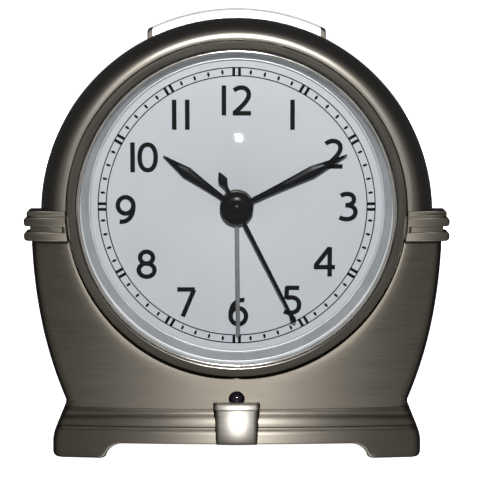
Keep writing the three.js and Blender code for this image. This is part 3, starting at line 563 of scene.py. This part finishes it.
def case_base():
    """Two convex reeds over a plain band that runs down into the feet."""
    # Depth and height, from behind the body's lower edge down to the top of the band.
    reeds = [(-3.4, 13.0), (-4.4, 12.35), (-4.55, 12.0), (-5.2, 11.9), (-5.75, 11.75), (-6.15, 11.5)]
    reeds += [(-6.35, 11.15), (-6.4, 10.85), (-6.33, 10.6), (-6.1, 10.45), (-5.9, 10.35), (-5.9, 10.25)]
    reeds += [(-6.2, 10.15), (-6.7, 10.02), (-7.1, 9.8), (-7.38, 9.45), (-7.55, 9.0), (-7.6, 8.55)]
    reeds += [(-7.5, 8.2), (-7.2, 8.06), (-6.5, 8.02), (-6.3, 7.7), (-6.5, 7.42), (-7.4, 7.34)]
    reeds += [(-7.8, 7.2), (-8.06, 6.95), (-8.18, 6.6), (-8.2, 6.2)]
    band_depth, band_top = reeds[-1]
    lift = {0.93: 0.08, 0.97: 0.22, 1.0: 0.5}  # how far the band rounds back, by share of the way down
    band = [0.15, 0.3, 0.45, 0.6, 0.75, 0.86, *lift]
    sections = []
    for kind, side, value in base_columns():
        nominal = side * (BASE_HALF - value if kind == "edge" else value)
        recess = 0.0
        if kind == "edge":
            recess = EDGE_ROUND - sqrt(EDGE_ROUND ** 2 - (EDGE_ROUND - value) ** 2)
        low = foot_edge(nominal)
        rows = [(depth, level(nominal, z)) for depth, z in reeds]
        rows += [(band_depth + lift.get(share, 0), band_top + (low - band_top) * share) for share in band]
        front = []
        for depth, z in rows:
            half = flare_half(z)
            share = value / (BASE_HALF - EDGE_ROUND)
            x = side * (half - value if kind == "edge" else share * (half - EDGE_ROUND))
            front.append((x, bowed(depth, x) + recess, z))
        back = [(x, CASE_BACK - 0.3, z) for x, _, z in reversed(front)]
        sections.append([point(*p) for p in front + back])
    bm = bmesh.new()
    columns = loft(bm, sections, capped=False)
    count = len(columns[0])
    for end in (columns[0], columns[-1]):
        for k in range(count // 2 - 1):
            bm.faces.new((end[k], end[k + 1], end[count - 2 - k], end[count - 1 - k]))
    piece("case_base", bm, M_BASE, *HOUSING, 40)


def keystone():
    """Tapered block in the middle of the base: a crowned face, a fine line and a rounded shoulder."""
    bend_z, bend_r, top_z = 5.8, 12.5, 12.0  # the face leans back above bend_z, on an arc
    foot_half, taper, overhang, line_z = 5.1, 0.035, 0.35, 12.25
    crown_drop, front, root, root_z = 0.35, -9.0, -4.6, 13
    rows = [(-8.5, 3.8), (-8.75, 4.1), (-8.92, 4.6)]
    for u in shares(12):
        z = bend_z + (top_z - bend_z) * u
        rows.append((front + bend_r - sqrt(bend_r ** 2 - (z - bend_z) ** 2), z))
    rows += [(-7.15, 12.08), (-7.15, 12.2), (-7.5, 12.28), (-7.52, 12.4), (-7.4, 12.75), (-7.22, 13.15)]
    rows += [(-7.0, 13.5), (-6.8, 13.68), (-6.4, 13.75), (-4.5, 13.8)]
    insets = [0, 0.04, 0.14, 0.3, 0.5]
    edge_round = insets[-1]
    columns = [(-1, inset) for inset in insets] + [(u / 8, None) for u in range(-7, 8)]
    columns += [(1, inset) for inset in reversed(insets)]
    sections = []
    for u, inset in columns:
        loop = []
        for depth, z in rows:
            half = foot_half + taper * (z - FLOOR_Z) + (overhang if z > line_z else 0)
            recess = 0.0
            if inset is None:
                x = u * (half - edge_round)
            else:
                x = u * (half - inset)
                recess = edge_round - sqrt(edge_round ** 2 - (edge_round - inset) ** 2)
            crown = crown_drop * (x / half) ** 2
            blend = min(1.0, max(0.0, (root - depth) / 3))  # the crown dies out towards the root
            lower = recess * 0.7 if z > root_z else 0
            loop.append(point(x, depth + (crown + recess) * blend, z - lower))
        loop.append(point(u * foot_half, -4.4, FLOOR_Z))
        sections.append(loop)
    piece("case_keystone", fresh(loft, sections), M_KEY, *HOUSING, 40)


def lug(side):
    """Shoulder of the case: three ribs on a core, and a strip that joins two of them round the bezel."""
    word = "right" if side > 0 else "left"
    inner_r = OPENING_R + 0.05
    lean = 0.09  # how far the fronts slope back, for each step out from the opening

    def ring_x(z):
        return sqrt(inner_r ** 2 - (z - OPENING_Z) ** 2)

    def add(name, outline, front, back, bevel):
        bm = fresh(slab, [(side * x, z) for x, z in outline], front, back, bevel, segments=4)
        for vert in bm.verts:
            if vert.co.y < point(0, -3, 0).y:
                vert.co.y += lean * max(0, abs(vert.co.x) - OPENING_R * MM)
        piece(f"lug_{word}_{name}", bm, M_BODY, *HOUSING, 50)

    def bar(half, z0, z1, upper, lower):
        return rounded([(ring_x(z1), z1, 0), (ring_x(z0), z0, 0), (half, z0, lower), (half, z1, upper)], 0)

    add("core", bar(50.4, 54.3, 60.2, 0.2, 0.2), -5.3, 2.3, 0.1)
    add("top_rib", bar(51.2, 60.0, 61.25, 1.2, 0.2), -5.7, 2, 0.22)
    add("middle_rib", bar(LUG_HALF, 57.5, 59.65, 0.9, 0.9), -6.0, 1, 0.22)
    add("lower_rib", bar(LUG_HALF, 53.9, 56.1, 0.8, 1.2), -6.0, 1, 0.22)
    strip_z, strip_height, strip_width = 53.9, 5.8, 1.1
    heights = [strip_z + strip_height * u for u in shares(8)]
    strip = [(ring_x(z), z) for z in heights] + [(ring_x(z) + strip_width, z) for z in reversed(heights)]
    add("strip", strip, -5.9, -1, 0.3)


def light_sensor():
    """Domed dark window in the hole above the keystone."""
    r = 1.8
    profile = [(0, -6.0)] + [(r * sin(a), -4.6 - 1.4 * cos(a)) for a in (0.3, 0.6, 0.9, 1.2, 1.5)]
    bm = fresh(lathe, profile + [(r, -1.2), (0, -1.2)], 0, SENSOR_Z, 48)
    piece("sensor_window", bm, M_GLOSS, CASE, "sensor_black", ["light_sensor"])


def snooze_bar():
    """Silver bar on the arch's own curve, with rolled edges; each end is given the darker body pewter, as
    painted shade.
    """
    inner, outer, half, d0, d1 = 44.5, 50.4, 22.0, 7.3, 16.7
    # cap is the length at each end that gets the darker body pewter, which paints the shade of the bar's
    # ends.
    cap, end_round = 1.3, 0.5
    outline = rounded([(inner, d0, 0), (outer, d0, 0.9), (outer - 0.4, d1, 0.2), (inner, d1, 0)], 0.9, 6)

    def stretch(name, xs, material, stands_for=()):
        sections = []
        for x in xs:
            near = min(half - abs(x), end_round)
            drop = end_round - sqrt(max(0, end_round ** 2 - (end_round - near) ** 2))
            loop = []
            for r, depth in outline:
                shrunk = r - drop if r > inner + 1 else r
                loop.append(point(x, depth, ARCH_Z + sqrt(shrunk ** 2 - x ** 2)))
            sections.append(loop)
        piece(name, fresh(loft, sections), material, "snooze", "silver", stands_for, 40)

    across = [(half - cap) * (2 * u - 1) for u in shares(54)]
    stretch("snooze_bar_cap", across, M_SNOOZE, ["snooze_bar"])
    # Painted shade: the ends take the darker body pewter in place of the shade that falls on them.
    tail = [half - inset for inset in (cap, 0.9, 0.5, 0.3, 0.15, 0.05, 0)]
    stretch("snooze_painted_shade_right", tail, M_BODY)
    stretch("snooze_painted_shade_left", [-x for x in tail], M_BODY)


case_arch()
case_body()
case_base()
keystone()
lug(1)
lug(-1)
light_sensor()
snooze_bar()


# ---- bezel, lens and dial
def bezel():
    """Brushed band with a flange behind the case, and a polished inner lip."""
    outer = BEZEL_R
    ring = [(38.95, -6.0), (39.02, -6.12), (39.15, -6.17), (39.3, -6.18), (outer - 0.2, -6.3), (outer, -6.3)]
    ring += [(outer, -2.2), (43.2, -2.2), (43.2, -0.7), (outer, -0.7)]
    bm = fresh(lathe, ring + [(outer, 0.6), (40.15, 0.6), (40.15, -4.9), (38.95, -4.9)], z=BEZEL_Z)
    piece("bezel_band", bm, M_BEZEL, CASE, "bezel_metal", ["bezel_ring"])
    lip = rounded([(38.05, -4.9, 0), (38.05, -6.35, 0.3), (38.75, -6.4, 0.3), (38.75, -4.9, 0)], 0.3, 6)
    bm = fresh(lathe, lip, z=BEZEL_Z)
    piece("bezel_lip", bm, M_LIP, CASE, "bezel_metal", ["bezel_ring"])


def sphere_depth(radius, apex, r):
    """Depth of a ball at r from its axis, with its foremost point at apex."""
    return apex + radius - sqrt(radius * radius - r * r)


def lens():
    """Domed crystal of even thickness, with a flange that the bezel holds."""
    low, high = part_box("lens")
    dome_r, thickness = 100, 1.5
    apex = low[1] / MM - FACE_Y + 0.001
    edge, flange, rows = 37.9, high[0] / MM - 0.05, 26
    profile = [(edge * u, sphere_depth(dome_r, apex, edge * u)) for u in shares(rows)]
    profile += [(flange, -4.6), (flange, -3.35)]
    back = [(edge - 0.9) * (1 - u) for u in shares(rows)]
    profile += [(r, sphere_depth(dome_r - thickness, apex + thickness, r)) for r in back]
    bm = fresh(lathe, profile)
    piece("lens_dome", bm, M_LENS, CASE, "lens_clear", ["lens"])


CONE_R, DISC_R = 35.9, 39.75  # inner edge of the cone, and edge of the dial


def cone_ring():
    """Conical ring between the dial and the lens, with a small bead on the dial."""
    outline = rounded([(CONE_R + 0.2, -0.3, 0), (DISC_R, -0.3, 0), (DISC_R, -3, 0), (38.0, -3, 0.35)], 0.1, 4)
    bm = fresh(lathe, outline)
    piece("silver_cone", bm, M_CONE, CASE, "silver", ["reflector_ring"])
    bead = [(CONE_R, -0.28, 0), (CONE_R, -0.7, 0.2), (CONE_R + 0.45, -0.75, 0.2), (CONE_R + 0.45, -0.28, 0)]
    bm = fresh(lathe, rounded(bead, 0.2, 5))
    piece("cone_bead", bm, M_CONE, CASE, "silver", ["reflector_ring"])


def dial_plate_face():
    """Painted dial with a hole for the hands' pipes."""
    bm = fresh(lathe, rounded([(4.2, 0), (DISC_R, 0), (DISC_R, 0.6), (4.2, 0.6)], 0.1, 3))
    piece("dial_disc", bm, M_DIAL, CASE, "dial_face", ["dial"])


INK = 0.05  # height of the printing
INK_ROOT = 0.05  # how far it reaches into the dial


def ink_ring(bm, radius, width):
    inner, outer = radius - width / 2, radius + width / 2
    lathe(bm, [(inner, -INK), (outer, -INK), (outer, INK_ROOT), (inner, INK_ROOT)], steps=180)


def turned(x, r, degrees):
    """Place of a point, drawn x across and r out at twelve o'clock, and turned about the dial."""
    a = radians(degrees)
    return x * cos(a) + r * sin(a), DIAL_Z + r * cos(a) - x * sin(a)


def ink_shape(bm, outline, degrees):
    """A printed shape drawn at twelve o'clock, and turned to its place."""
    slab(bm, [turned(x, r, degrees) for x, r in outline], -INK, INK_ROOT)


def chapter_ring():
    """Two fine circles, with a double bar between them at each hour and an oval at each minute."""
    inner, outer, line = 32.05, 34.05, 0.26
    oval_width, oval_height, bar_place, bar_half = 0.31, 0.64, 0.7, 0.36
    bm = bmesh.new()
    ink_ring(bm, inner, line)
    ink_ring(bm, outer, line)
    middle = (inner + outer) / 2
    oval = []
    for k in range(12):
        a = 2 * pi * k / 12
        oval.append((oval_width * sin(a) * abs(sin(a)) ** 0.4, middle + oval_height * cos(a)))
    for minute in range(60):
        if minute % 5:
            ink_shape(bm, oval, 6 * minute)
            continue
        for x in (-bar_place, bar_place):
            ink_shape(bm, box_outline(x - bar_half, x + bar_half, inner, outer), 6 * minute)
    piece("chapter_ring", bm, M_INK, CASE, "hand_black")


GLYPH = 0.98  # scale of the numerals, which are drawn 7.5 mm high
STROKE = 1.12  # width of their lines
TOP = 3.75 - STROKE / 2  # height of the middle of a line along the top


def ellipse(x, z, half_x, half_z, power=2.0):
    """A closed oval. A power above 2 makes it squarer."""
    made = []
    for u in shares(40):
        a = 2 * pi * u
        s, c = sin(a), cos(a)
        made.append((x + half_x * copysign(abs(s) ** (2 / power), s),
                     z + half_z * copysign(abs(c) ** (2 / power), c)))
    return made


def curved(start, *curves):
    """A path along cubic curves, each given by two control points, its end and its steps."""
    made = [start]
    for p1, p2, p3, steps in curves:
        p0 = made[-1]
        for u in shares(steps, 1):
            v = 1 - u
            weights = (v ** 3, 3 * v * v * u, 3 * v * u * u, u ** 3)
            made.append(tuple(sum(w * p[k] for w, p in zip(weights, (p0, p1, p2, p3))) for k in (0, 1)))
    return made


def strokes(digit):
    """Centre lines of one numeral, about its own middle."""
    bar = [(0, 3.75), (0, -3.75)]
    two = curved((-1.9, 2.45), ((-1.3, 2.95), (-0.7, TOP), (-0.1, TOP), 8),
        ((1.1, TOP), (1.8, 2.5), (1.8, 1.5), 9), ((1.8, 0.35), (0.9, -0.75), (-1.75, -TOP + 0.1), 12))
    three = curved((-1.75, 2.7), ((-1.2, 3.05), (-0.7, TOP), (-0.15, TOP), 7),
        ((1.0, TOP), (1.55, 2.6), (1.55, 1.8), 8), ((1.55, 0.9), (0.8, 0.35), (-0.6, 0.35), 8))
    lower = curved((-0.6, 0.35), ((1.0, 0.35), (1.95, -0.3), (1.95, -1.35), 8),
        ((1.95, -2.5), (1.0, -TOP), (-0.35, -TOP), 9), ((-1.0, -TOP), (-1.55, -3.0), (-2.05, -2.7), 6))
    belly = curved((-1.4, 0.5), ((-0.95, 0.68), (-0.6, 0.75), (-0.2, 0.75), 5),
        ((1.1, 0.75), (1.85, 0.0), (1.85, -1.15), 9), ((1.85, -2.4), (1.0, -TOP), (-0.4, -TOP), 9),
        ((-1.0, -TOP), (-1.5, -3.05), (-1.95, -2.8), 6))
    six = curved((1.55, 3.0), ((-0.7, 3.25), (-1.95, 1.5), (-1.95, -0.9), 14))
    return {
        "0": [ellipse(0, 0, 2.0, TOP, 2.25)],
        "1": [bar],
        "2": [two, [(-2.2, -TOP), (2.35, -TOP)]],
        "3": [three, lower],
        "4": [[(1.25, 3.6), (-2.35, -1.0)], [(-2.75, -1.35), (2.6, -1.35)], [(1.25, 3.75), (1.25, -3.75)]],
        "5": [[(-1.2, 3.5)] + belly, [(-1.55, TOP), (1.85, TOP)]],
        "6": [six, ellipse(0, -1.12, 1.95, TOP - 1.12)],
        "7": [[(-2.3, TOP), (2.15, TOP)], [(2.0, 3.2), (-0.95, -3.75)]],
        "8": [ellipse(0, 1.68, 1.62, TOP - 1.68), ellipse(0, -1.5, 1.98, TOP - 1.5)],
        "9": [[(-x, -z) for x, z in six], ellipse(0, 1.12, 1.95, TOP - 1.12)],
    }[digit]


def ink_stroke(bm, path, x, z, lift):
    """A printed line of even width along a path."""
    ring = (Vector(path[0]) - Vector(path[-1])).length < 1e-3
    points = [Vector(p) * GLYPH for p in (path[:-1] if ring else path)]
    count = len(points)
    sections = []
    for k, here in enumerate(points):
        before = points[k - 1] if ring or k else here
        after = points[(k + 1) % count] if ring or k < count - 1 else here
        along = (after - before).normalized()
        across = Vector((-along.y, along.x)) * STROKE / 2
        left, right = here + across, here - across
        corners = [(left, -INK - lift), (right, -INK - lift), (right, INK_ROOT), (left, INK_ROOT)]
        sections.append([point(x + p.x, depth, z + p.y) for p, depth in corners])
    loft(bm, sections, loop=ring)


def numerals():
    """The hours, upright, on a slightly wide oval, each nudged to sit optically in the ring."""
    half_x, half_z = 27.3, 26.05
    nudge = {4: (-1.9, -0.7), 5: (0, -0.8), 6: (0.4, -0.2), 7: (1.2, -1.2), 8: (1.4, -1.3), 9: (0, -0.8)}
    nudge[10] = (1.0, -0.9)
    spacing = {"10": (-2.85, 0.85), "11": (-1.6, 1.6), "12": (-3.1, 1.2)}
    bm = bmesh.new()
    for hour in range(1, 13):
        a = radians(30 * hour)
        dx, dz = nudge.get(hour, (0, 0))
        x, z = half_x * sin(a) + dx, DIAL_Z + half_z * cos(a) + dz
        word = str(hour)
        for digit, offset in zip(word, spacing.get(word, (0,))):
            for layer, path in enumerate(strokes(digit)):
                ink_stroke(bm, path, x + offset, z, lift=0.004 * layer)
    piece("numerals", bm, M_INK, CASE, "hand_black")


bezel()
lens()
cone_ring()
dial_plate_face()
chapter_ring()
numerals()


# ---- hands
# Degrees that the hands stand from twelve o'clock.
ALARM_AT, HOUR_AT, MINUTE_AT, SECONDS_AT = 179.4, 305.35, 64.2, 153.1


def blade(bm, stations, degrees, d0, d1, ridge):
    """A bevelled hand from (distance out, half width) stations, with a raised ridge along its middle."""

    def placed(x, r, depth):
        across, up = turned(x, r, degrees)
        return point(across, depth, up)

    sections = []
    full_ridge = 0.7  # half width from which the ridge has its whole height
    for r, half in stations:
        top = d0 - ridge * min(1, half / full_ridge)
        edge = d0 + 0.08
        loop = [placed(-half, r, edge), placed(-half * 0.15, r, top), placed(half * 0.15, r, top)]
        loop += [placed(half, r, edge), placed(half * 0.96, r, d1), placed(-half * 0.96, r, d1)]
        sections.append(loop)
    loft(bm, sections)


def leaf(root, widest, at, tip):
    """Stations of a leaf-shaped hand: hollow up to its widest part, then straight to the tip."""
    tip_half, steps = 0.12, 12
    made = [(1 + (at - 1) * u, root + (widest - root) * u ** 1.6) for u in shares(steps)]
    for u in shares(steps, 1):
        made.append((at + (tip - at) * u, tip_half + (widest - tip_half) * (1 - u)))
    return made


def hub_disc(bm, outer, inner, d0, d1):
    """Washer-shaped middle of a hand."""
    corners = [(inner, d0, 0.05), (outer, d0, 0.12), (outer, d1, 0.05), (inner, d1, 0.05)]
    lathe(bm, rounded(corners, 0.1, 3), steps=72)


def hands():
    """Alarm, hour and minute hands, each on its own body."""
    bm = bmesh.new()
    pointer = [(2.9, 0.54), (10, 0.54), (20, 0.54), (31.7, 0.51), (32.4, 0.2)]
    blade(bm, pointer, ALARM_AT, -1.3, -1.0, ridge=0.12)
    hub_disc(bm, 3.9, 2.8, -1.3, -1.0)
    piece("alarm_pointer", bm, M_ALARM, "alarm", "silver", ["alarm_hand"], 25)
    bm = fresh(blade, leaf(0.55, 1.42, 14.9, 21.9), HOUR_AT, -2.1, -1.8, ridge=0.24)
    hub_disc(bm, 3.6, 1.8, -2.14, -1.8)
    piece("hour_pointer", bm, M_HAND, "hour", "hand_black", ["hour_hand"], 20)
    bm = fresh(blade, leaf(0.58, 1.42, 20.4, 29.9), MINUTE_AT, -2.9, -2.6, ridge=0.24)
    hub_disc(bm, 3.0, 0.8, -2.94, -2.6)
    piece("minute_pointer", bm, M_HAND, "minute", "hand_black", ["minute_hand"], 20)


def seconds_pointer():
    """Seconds hand with its counterweight, and the domed cap over the hands."""
    bm = bmesh.new()
    sweep = [(2, 0.5), (12, 0.46), (24, 0.4), (29.4, 0.35), (30.0, 0.54), (30.6, 0.69), (31.1, 0.6)]
    sweep += [(31.7, 0.15)]
    blade(bm, sweep, SECONDS_AT, -3.8, -3.55, ridge=0.1)
    tail = [(2, 0.55), (5.7, 0.42), (6.5, 0.74), (7.6, 1.18), (8.7, 0.74), (9.8, 0.15)]
    blade(bm, tail, SECONDS_AT + 181, -3.8, -3.55, ridge=0.06)
    cap = [(0, -5.98), (0.7, -5.93), (1.35, -5.75), (1.8, -5.45), (1.98, -5.1), (2.05, -4.85), (2.5, -4.78)]
    cap += [(3.15, -4.62), (3.75, -4.32), (4.04, -3.95), (4.09, -3.7), (4.0, -3.52), (0, -3.52)]
    lathe(bm, cap, steps=96)
    piece("seconds_pointer", bm, M_HAND, "seconds", "hand_black", ["seconds_hand"], 38)


hands()
seconds_pointer()


# ---- back of the clock
COVER_BACK = depths_of(*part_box("rear_cover"))[1]
COVER_FRONT = CASE_BACK + 0.3
SCREWS = [centre_of(*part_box(f"rear_cover_screw_{k}")) for k in (1, 2, 3, 4)]
DOOR_OPENING = (-30.3, 30.3, 13.7, 30.3)  # sides, foot and head of the opening for the battery door


def cover_outline(inset):
    """Outline of the rear cover, moved in by inset, as (x, z) points."""
    right = [(flare_half(z) - inset, z) for z in (3.4 + inset, 7.5, 9, 10.5, 12, 13)]
    right += [(x - inset, z) for x, z in reversed(side_curve(24))]
    right += [(SHOULDER[0] - inset, 56.5), (ARCH_R - inset + 0.9, 59.2)]
    r = ARCH_R - inset
    angles = [pi * i / 96 for i in range(2, 95)]
    arc = [(cos(a) * r, ARCH_Z + sin(a) * r) for a in angles]
    return right + arc + [(-x, z) for x, z in reversed(right)]


def rear_cover():
    """Hollow moulded cover, with its openings for door, screws, knobs, slider and buzzer."""
    margin, round_off = 1.0, 2.6
    stages = [(margin, COVER_FRONT), (margin, COVER_BACK - round_off)]
    for u in shares(6, 1):
        a = pi / 2 * u
        stages.append((margin + round_off * (1 - cos(a)), COVER_BACK - round_off * (1 - sin(a))))
    sections = [[point(x, depth, z) for x, z in cover_outline(inset)] for inset, depth in stages]
    made = piece("cover_shell", fresh(loft, sections), M_BLACK, *COVER)
    inside, outside = 30, 41  # depths on both sides of the back wall
    cut(made, fresh(slab, cover_outline(3.0), 20, COVER_BACK - 2))
    cut(made, fresh(slab, round_box(*DOOR_OPENING, 1.2), 34, outside))
    holes = bmesh.new()
    for x, z in SCREWS:
        rod(holes, 2.8, inside, outside, x, z, 36)
    for node in ("time_set_knob", "alarm_set_knob"):
        rod(holes, 1.8, inside, outside, *centre_of(*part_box(node)), 30)
    slab(holes, box_outline(10, 20, 82.5, 85.5), inside, outside)
    cut(made, holes)
    grille = bmesh.new()
    x0, z0 = centre_of(*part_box("buzzer"))
    for ring, count in ((0, 1), (2.9, 6), (5.8, 12)):
        for k in range(count):
            a = 2 * pi * k / count
            rod(grille, 0.75, inside, outside, x0 + ring * cos(a), z0 + ring * sin(a), 16)
    cut(made, grille)


def cover_lip():
    """Thin wall inside the seam between the cover and the case, so that no light comes through."""
    sections = []
    for (x0, z0), (x1, z1) in zip(cover_outline(3.2), cover_outline(4.0)):
        ends = [(x0, CASE_BACK - 1.5, z0), (x1, CASE_BACK - 1.5, z1)]
        ends += [(x1, COVER_FRONT + 0.6, z1), (x0, COVER_FRONT + 0.6, z0)]
        sections.append([point(*p) for p in ends])
    piece("cover_lip", fresh(loft, sections, loop=True), M_BLACK, *COVER)


def battery_tray():
    """Open box behind the door, with its two end walls."""
    bm = fresh(slab, box_outline(-31.8, 31.8, 12.6, 31.4), 18.9, COVER_BACK - 1.9)
    made = piece("battery_tray", bm, M_BLACK, *COVER)
    cut(made, fresh(slab, round_box(*DOOR_OPENING, 1.2), 20, 45))


def screw_posts():
    """Tubes inside the cover, round the four screws."""
    front, back, seat = COVER_FRONT + 0.1, COVER_BACK - 2, 32.8
    outline = [(1.45, front), (3.5, front), (3.5, back), (2.8, back), (2.8, 35.2), (2.8, seat), (1.45, seat)]
    bm = bmesh.new()
    for x, z in SCREWS:
        lathe(bm, outline, x, z, 36)
    piece("screw_posts", bm, M_BLACK, *COVER)


def screws():
    """Pan head screws with a cross cut into each."""
    profile = [(0, 34.85), (1.2, 34.8), (1.9, 34.55), (2.3, 34.1), (2.4, 33.6), (2.35, 33.05), (1.05, 33.0)]
    profile += [(1.05, 9.2), (0, 9.1)]
    long_half, short_half = 1.4, 0.3
    for k, (x, z) in enumerate(SCREWS, 1):
        bm = fresh(lathe, profile, x, z, 40)
        made = piece(f"cover_screw_{k}", bm, M_STEEL, CASE, "steel", [f"rear_cover_screw_{k}"])
        for half_x, half_z, depth in ((long_half, short_half, 34), (short_half, long_half, 34.01)):
            cut(made, fresh(slab, box_outline(x - half_x, x + half_x, z - half_z, z + half_z), depth, 36))


def knob(name, node, body):
    """Fluted knob with a skirt, a dished face and a rounded edge."""
    low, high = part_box(node)
    x, z = centre_of(low, high)
    front, back = depths_of(low, high)
    radius = (high[0] - low[0]) / 2 / MM
    flutes, flute_depth = 24, 0.07
    steps = flutes * 8
    # Share of the radius, depth, and how far the flutes are cut in there.
    stages = [(0.9, front, 0), (0.985, front, 0), (0.99, front + 0.25, 0), (0.985, front + 0.5, 1)]
    stages += [(0.985, back - 0.7, 1), (0.96, back - 0.25, 1), (0.9, back, 0.5), (0.8, back, 0)]
    stages += [(0.7, back - 0.35, 0), (0.3, back - 0.45, 0), (0.05, back - 0.45, 0)]
    sections = []
    for share, depth, cut_in in stages:
        loop = []
        for k in range(steps):
            a = 2 * pi * k / steps
            groove = flute_depth * cut_in * abs(sin(flutes * a / 2)) ** 1.5
            r = radius * (share - groove)
            loop.append(point(x + r * cos(a), depth, z + r * sin(a)))
        sections.append(loop)
    piece(name, fresh(loft, sections), M_BLACK, body, "black_plastic", [node], 38)


def battery_door():
    """Door with a finger latch, and grooves to push on."""
    low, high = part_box("battery_door")
    x1, z0, z1 = high[0] / MM, low[2] / MM, high[2] / MM
    d0, d1 = depths_of(low, high)
    bm = fresh(slab, round_box(-x1, x1, z0, z1, 1.0), d0, d1, 0.25)
    made = piece("door_plate", bm, M_BLACK, "door", "black_plastic", ["battery_door"])
    cutter = fresh(slab, round_box(-6, 6, 25.6, 28.9, 1.2), d1 - 0.9, d1 + 2)
    first_groove, pitch = 16.2, 1.5
    for k in range(5):
        z = first_groove + pitch * k
        slab(cutter, round_box(-8, 8, z - 0.25, z + 0.25, 0.2), d1 - 0.35, d1 + 2)
    cut(made, cutter)
    bm = fresh(slab, round_box(-4, 4, 26.4, 27.3, 0.4), d1 - 0.95, d1 - 0.15, 0.2)
    piece("door_latch", bm, M_BLACK, "door", "black_plastic")


def alarm_slider():
    """Ribbed button on a plate that slides behind the cover."""
    low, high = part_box("alarm_switch_slider")
    back = high[1] / MM - FACE_Y
    x0, x1 = 10.3, 15.7
    bm = fresh(slab, round_box(x0, x1, 82.8, 85.2, 0.4), 35.5, back - 0.4, 0.2)
    for k in range(5):
        x = x0 + 0.7 + k
        slab(bm, round_box(x - 0.25, x + 0.25, 82.9, 85.1, 0.15), 39, back, 0.12)
    slab(bm, box_outline(low[0] / MM, high[0] / MM, low[2] / MM, high[2] / MM), 34.3, 35.6, 0.1)
    piece("slider_button", bm, M_SILVER, "alarm_slider", "silver", ["alarm_switch_slider"])


rear_cover()
cover_lip()
battery_tray()
screw_posts()
screws()
knob("time_knob", "time_set_knob", "time_setting")
knob("alarm_knob", "alarm_set_knob", "alarm_setting")
battery_door()
alarm_slider()


# ---- materials of the CAD nodes that stay
BY_SLOT = {"white_plastic": M_WHITE, "steel": M_STEEL, "brass": M_BRASS, "copper_wire": M_COPPER,
           "board_green": M_GREEN, "black_plastic": M_BLACK, "battery_sleeve": M_SLEEVE, "silver": M_SILVER,
           "pewter_case": M_BODY, "bezel_metal": M_BEZEL, "lens_clear": M_LENS, "dial_face": M_DIAL,
           "hand_black": M_HAND, "sensor_black": M_GLOSS}
for row in frame["record"]["subparts"]:
    mesh = frame["nodes"][row["node"]].data
    mesh.materials.clear()
    mesh.materials.append(BY_SLOT[row["material_slot"]])


# ---- stage, light and camera
def stage():
    """White floor that neither lights the clock nor shows in it."""
    bm = bmesh.new()
    bmesh.ops.create_circle(bm, cap_ends=True, segments=96, radius=40)
    mesh = bpy.data.meshes.new("floor")
    bm.to_mesh(mesh)
    bm.free()
    paper = Shader("floor_paper", (0.9, 0.9, 0.9), roughness=0.9, Emission_Strength=1.0)
    paper.set(paper.bsdf, **{"Emission Color": (1, 1, 1, 1)})
    mesh.materials.append(paper.material)
    floor = put("floor", mesh)
    floor.visible_glossy = False
    floor.visible_diffuse = False


def aim_at(made, where, target):
    made.location = where
    made.rotation_euler = (Vector(target) - Vector(where)).to_track_quat("-Z", "Y").to_euler()


def area_light(name, where, target, width, height, power, shape="RECTANGLE"):
    data = bpy.data.lights.new(name, "AREA")
    data.shape, data.size, data.size_y, data.energy = shape, width, height, power
    made = put(name, data)
    aim_at(made, where, target)
    return made


def world():
    """White to the camera, soft white on matt surfaces, and a dim studio in reflections."""
    made = bpy.data.worlds.new("studio")
    bpy.context.scene.world = made
    sky = Nodes(made)
    sky.tree.nodes.clear()
    split = sky.node("SeparateXYZ")
    sky.link(sky.node("TexCoord").outputs["Generated"], split.inputs[0])
    ahead = sky.math("MULTIPLY", split.outputs[1], -1)
    glow = sky.ramp(ahead, ((0.55, (0.07, 0.07, 0.075)), (0.98, (0.36, 0.35, 0.32))))
    seen, soft, studio = [sky.node("Background") for _ in range(3)]
    sky.set(seen, Color=(1.0, 1.0, 1.0, 1))
    sky.set(soft, Color=(0.13, 0.135, 0.145, 1))
    sky.link(glow, studio.inputs[0])
    ray = sky.node("LightPath").outputs
    around = sky.choice(ray["Is Glossy Ray"], soft, studio)
    whole = sky.choice(ray["Is Camera Ray"], around, seen)
    sky.link(whole.outputs[0], sky.node("OutputWorld").inputs[0])


def camera():
    """Long lens, a little above the clock and looking down at it. Lengths are in metres."""
    distance, height, aim, aside = 0.45, 0.115, 0.05175, 0.0007
    front = (FACE_Y + FRONT) * MM
    data = bpy.data.cameras.new("camera")
    data.sensor_width, data.lens = 36, 134.2
    data.clip_start, data.clip_end = 0.01, 100
    made = put("camera", data)
    aim_at(made, (aside, front - distance, height), (aside, front, aim))
    bpy.context.scene.camera = made
    return made.location


def lights(eye):
    """A small round flash over the camera, and two soft lights for the back of the clock, in metres."""
    aside, behind, above, disc, power = 0.006, 0.01, 0.095, 0.017, 2.2
    where = (aside, eye.y - behind, eye.z + above)
    area_light("flash", where, (0, 0, 0.06), disc, disc, power, "DISK")
    for word, x in (("left", -0.6), ("right", 0.6)):
        back_light = area_light(f"back_{word}", (x, 1.0, 0.3), (0, 0, 0.05), 0.8, 0.5, 12)
        back_light.visible_glossy = False


stage()
world()
lights(camera())
bpy.context.scene.view_settings.view_transform = "Standard"
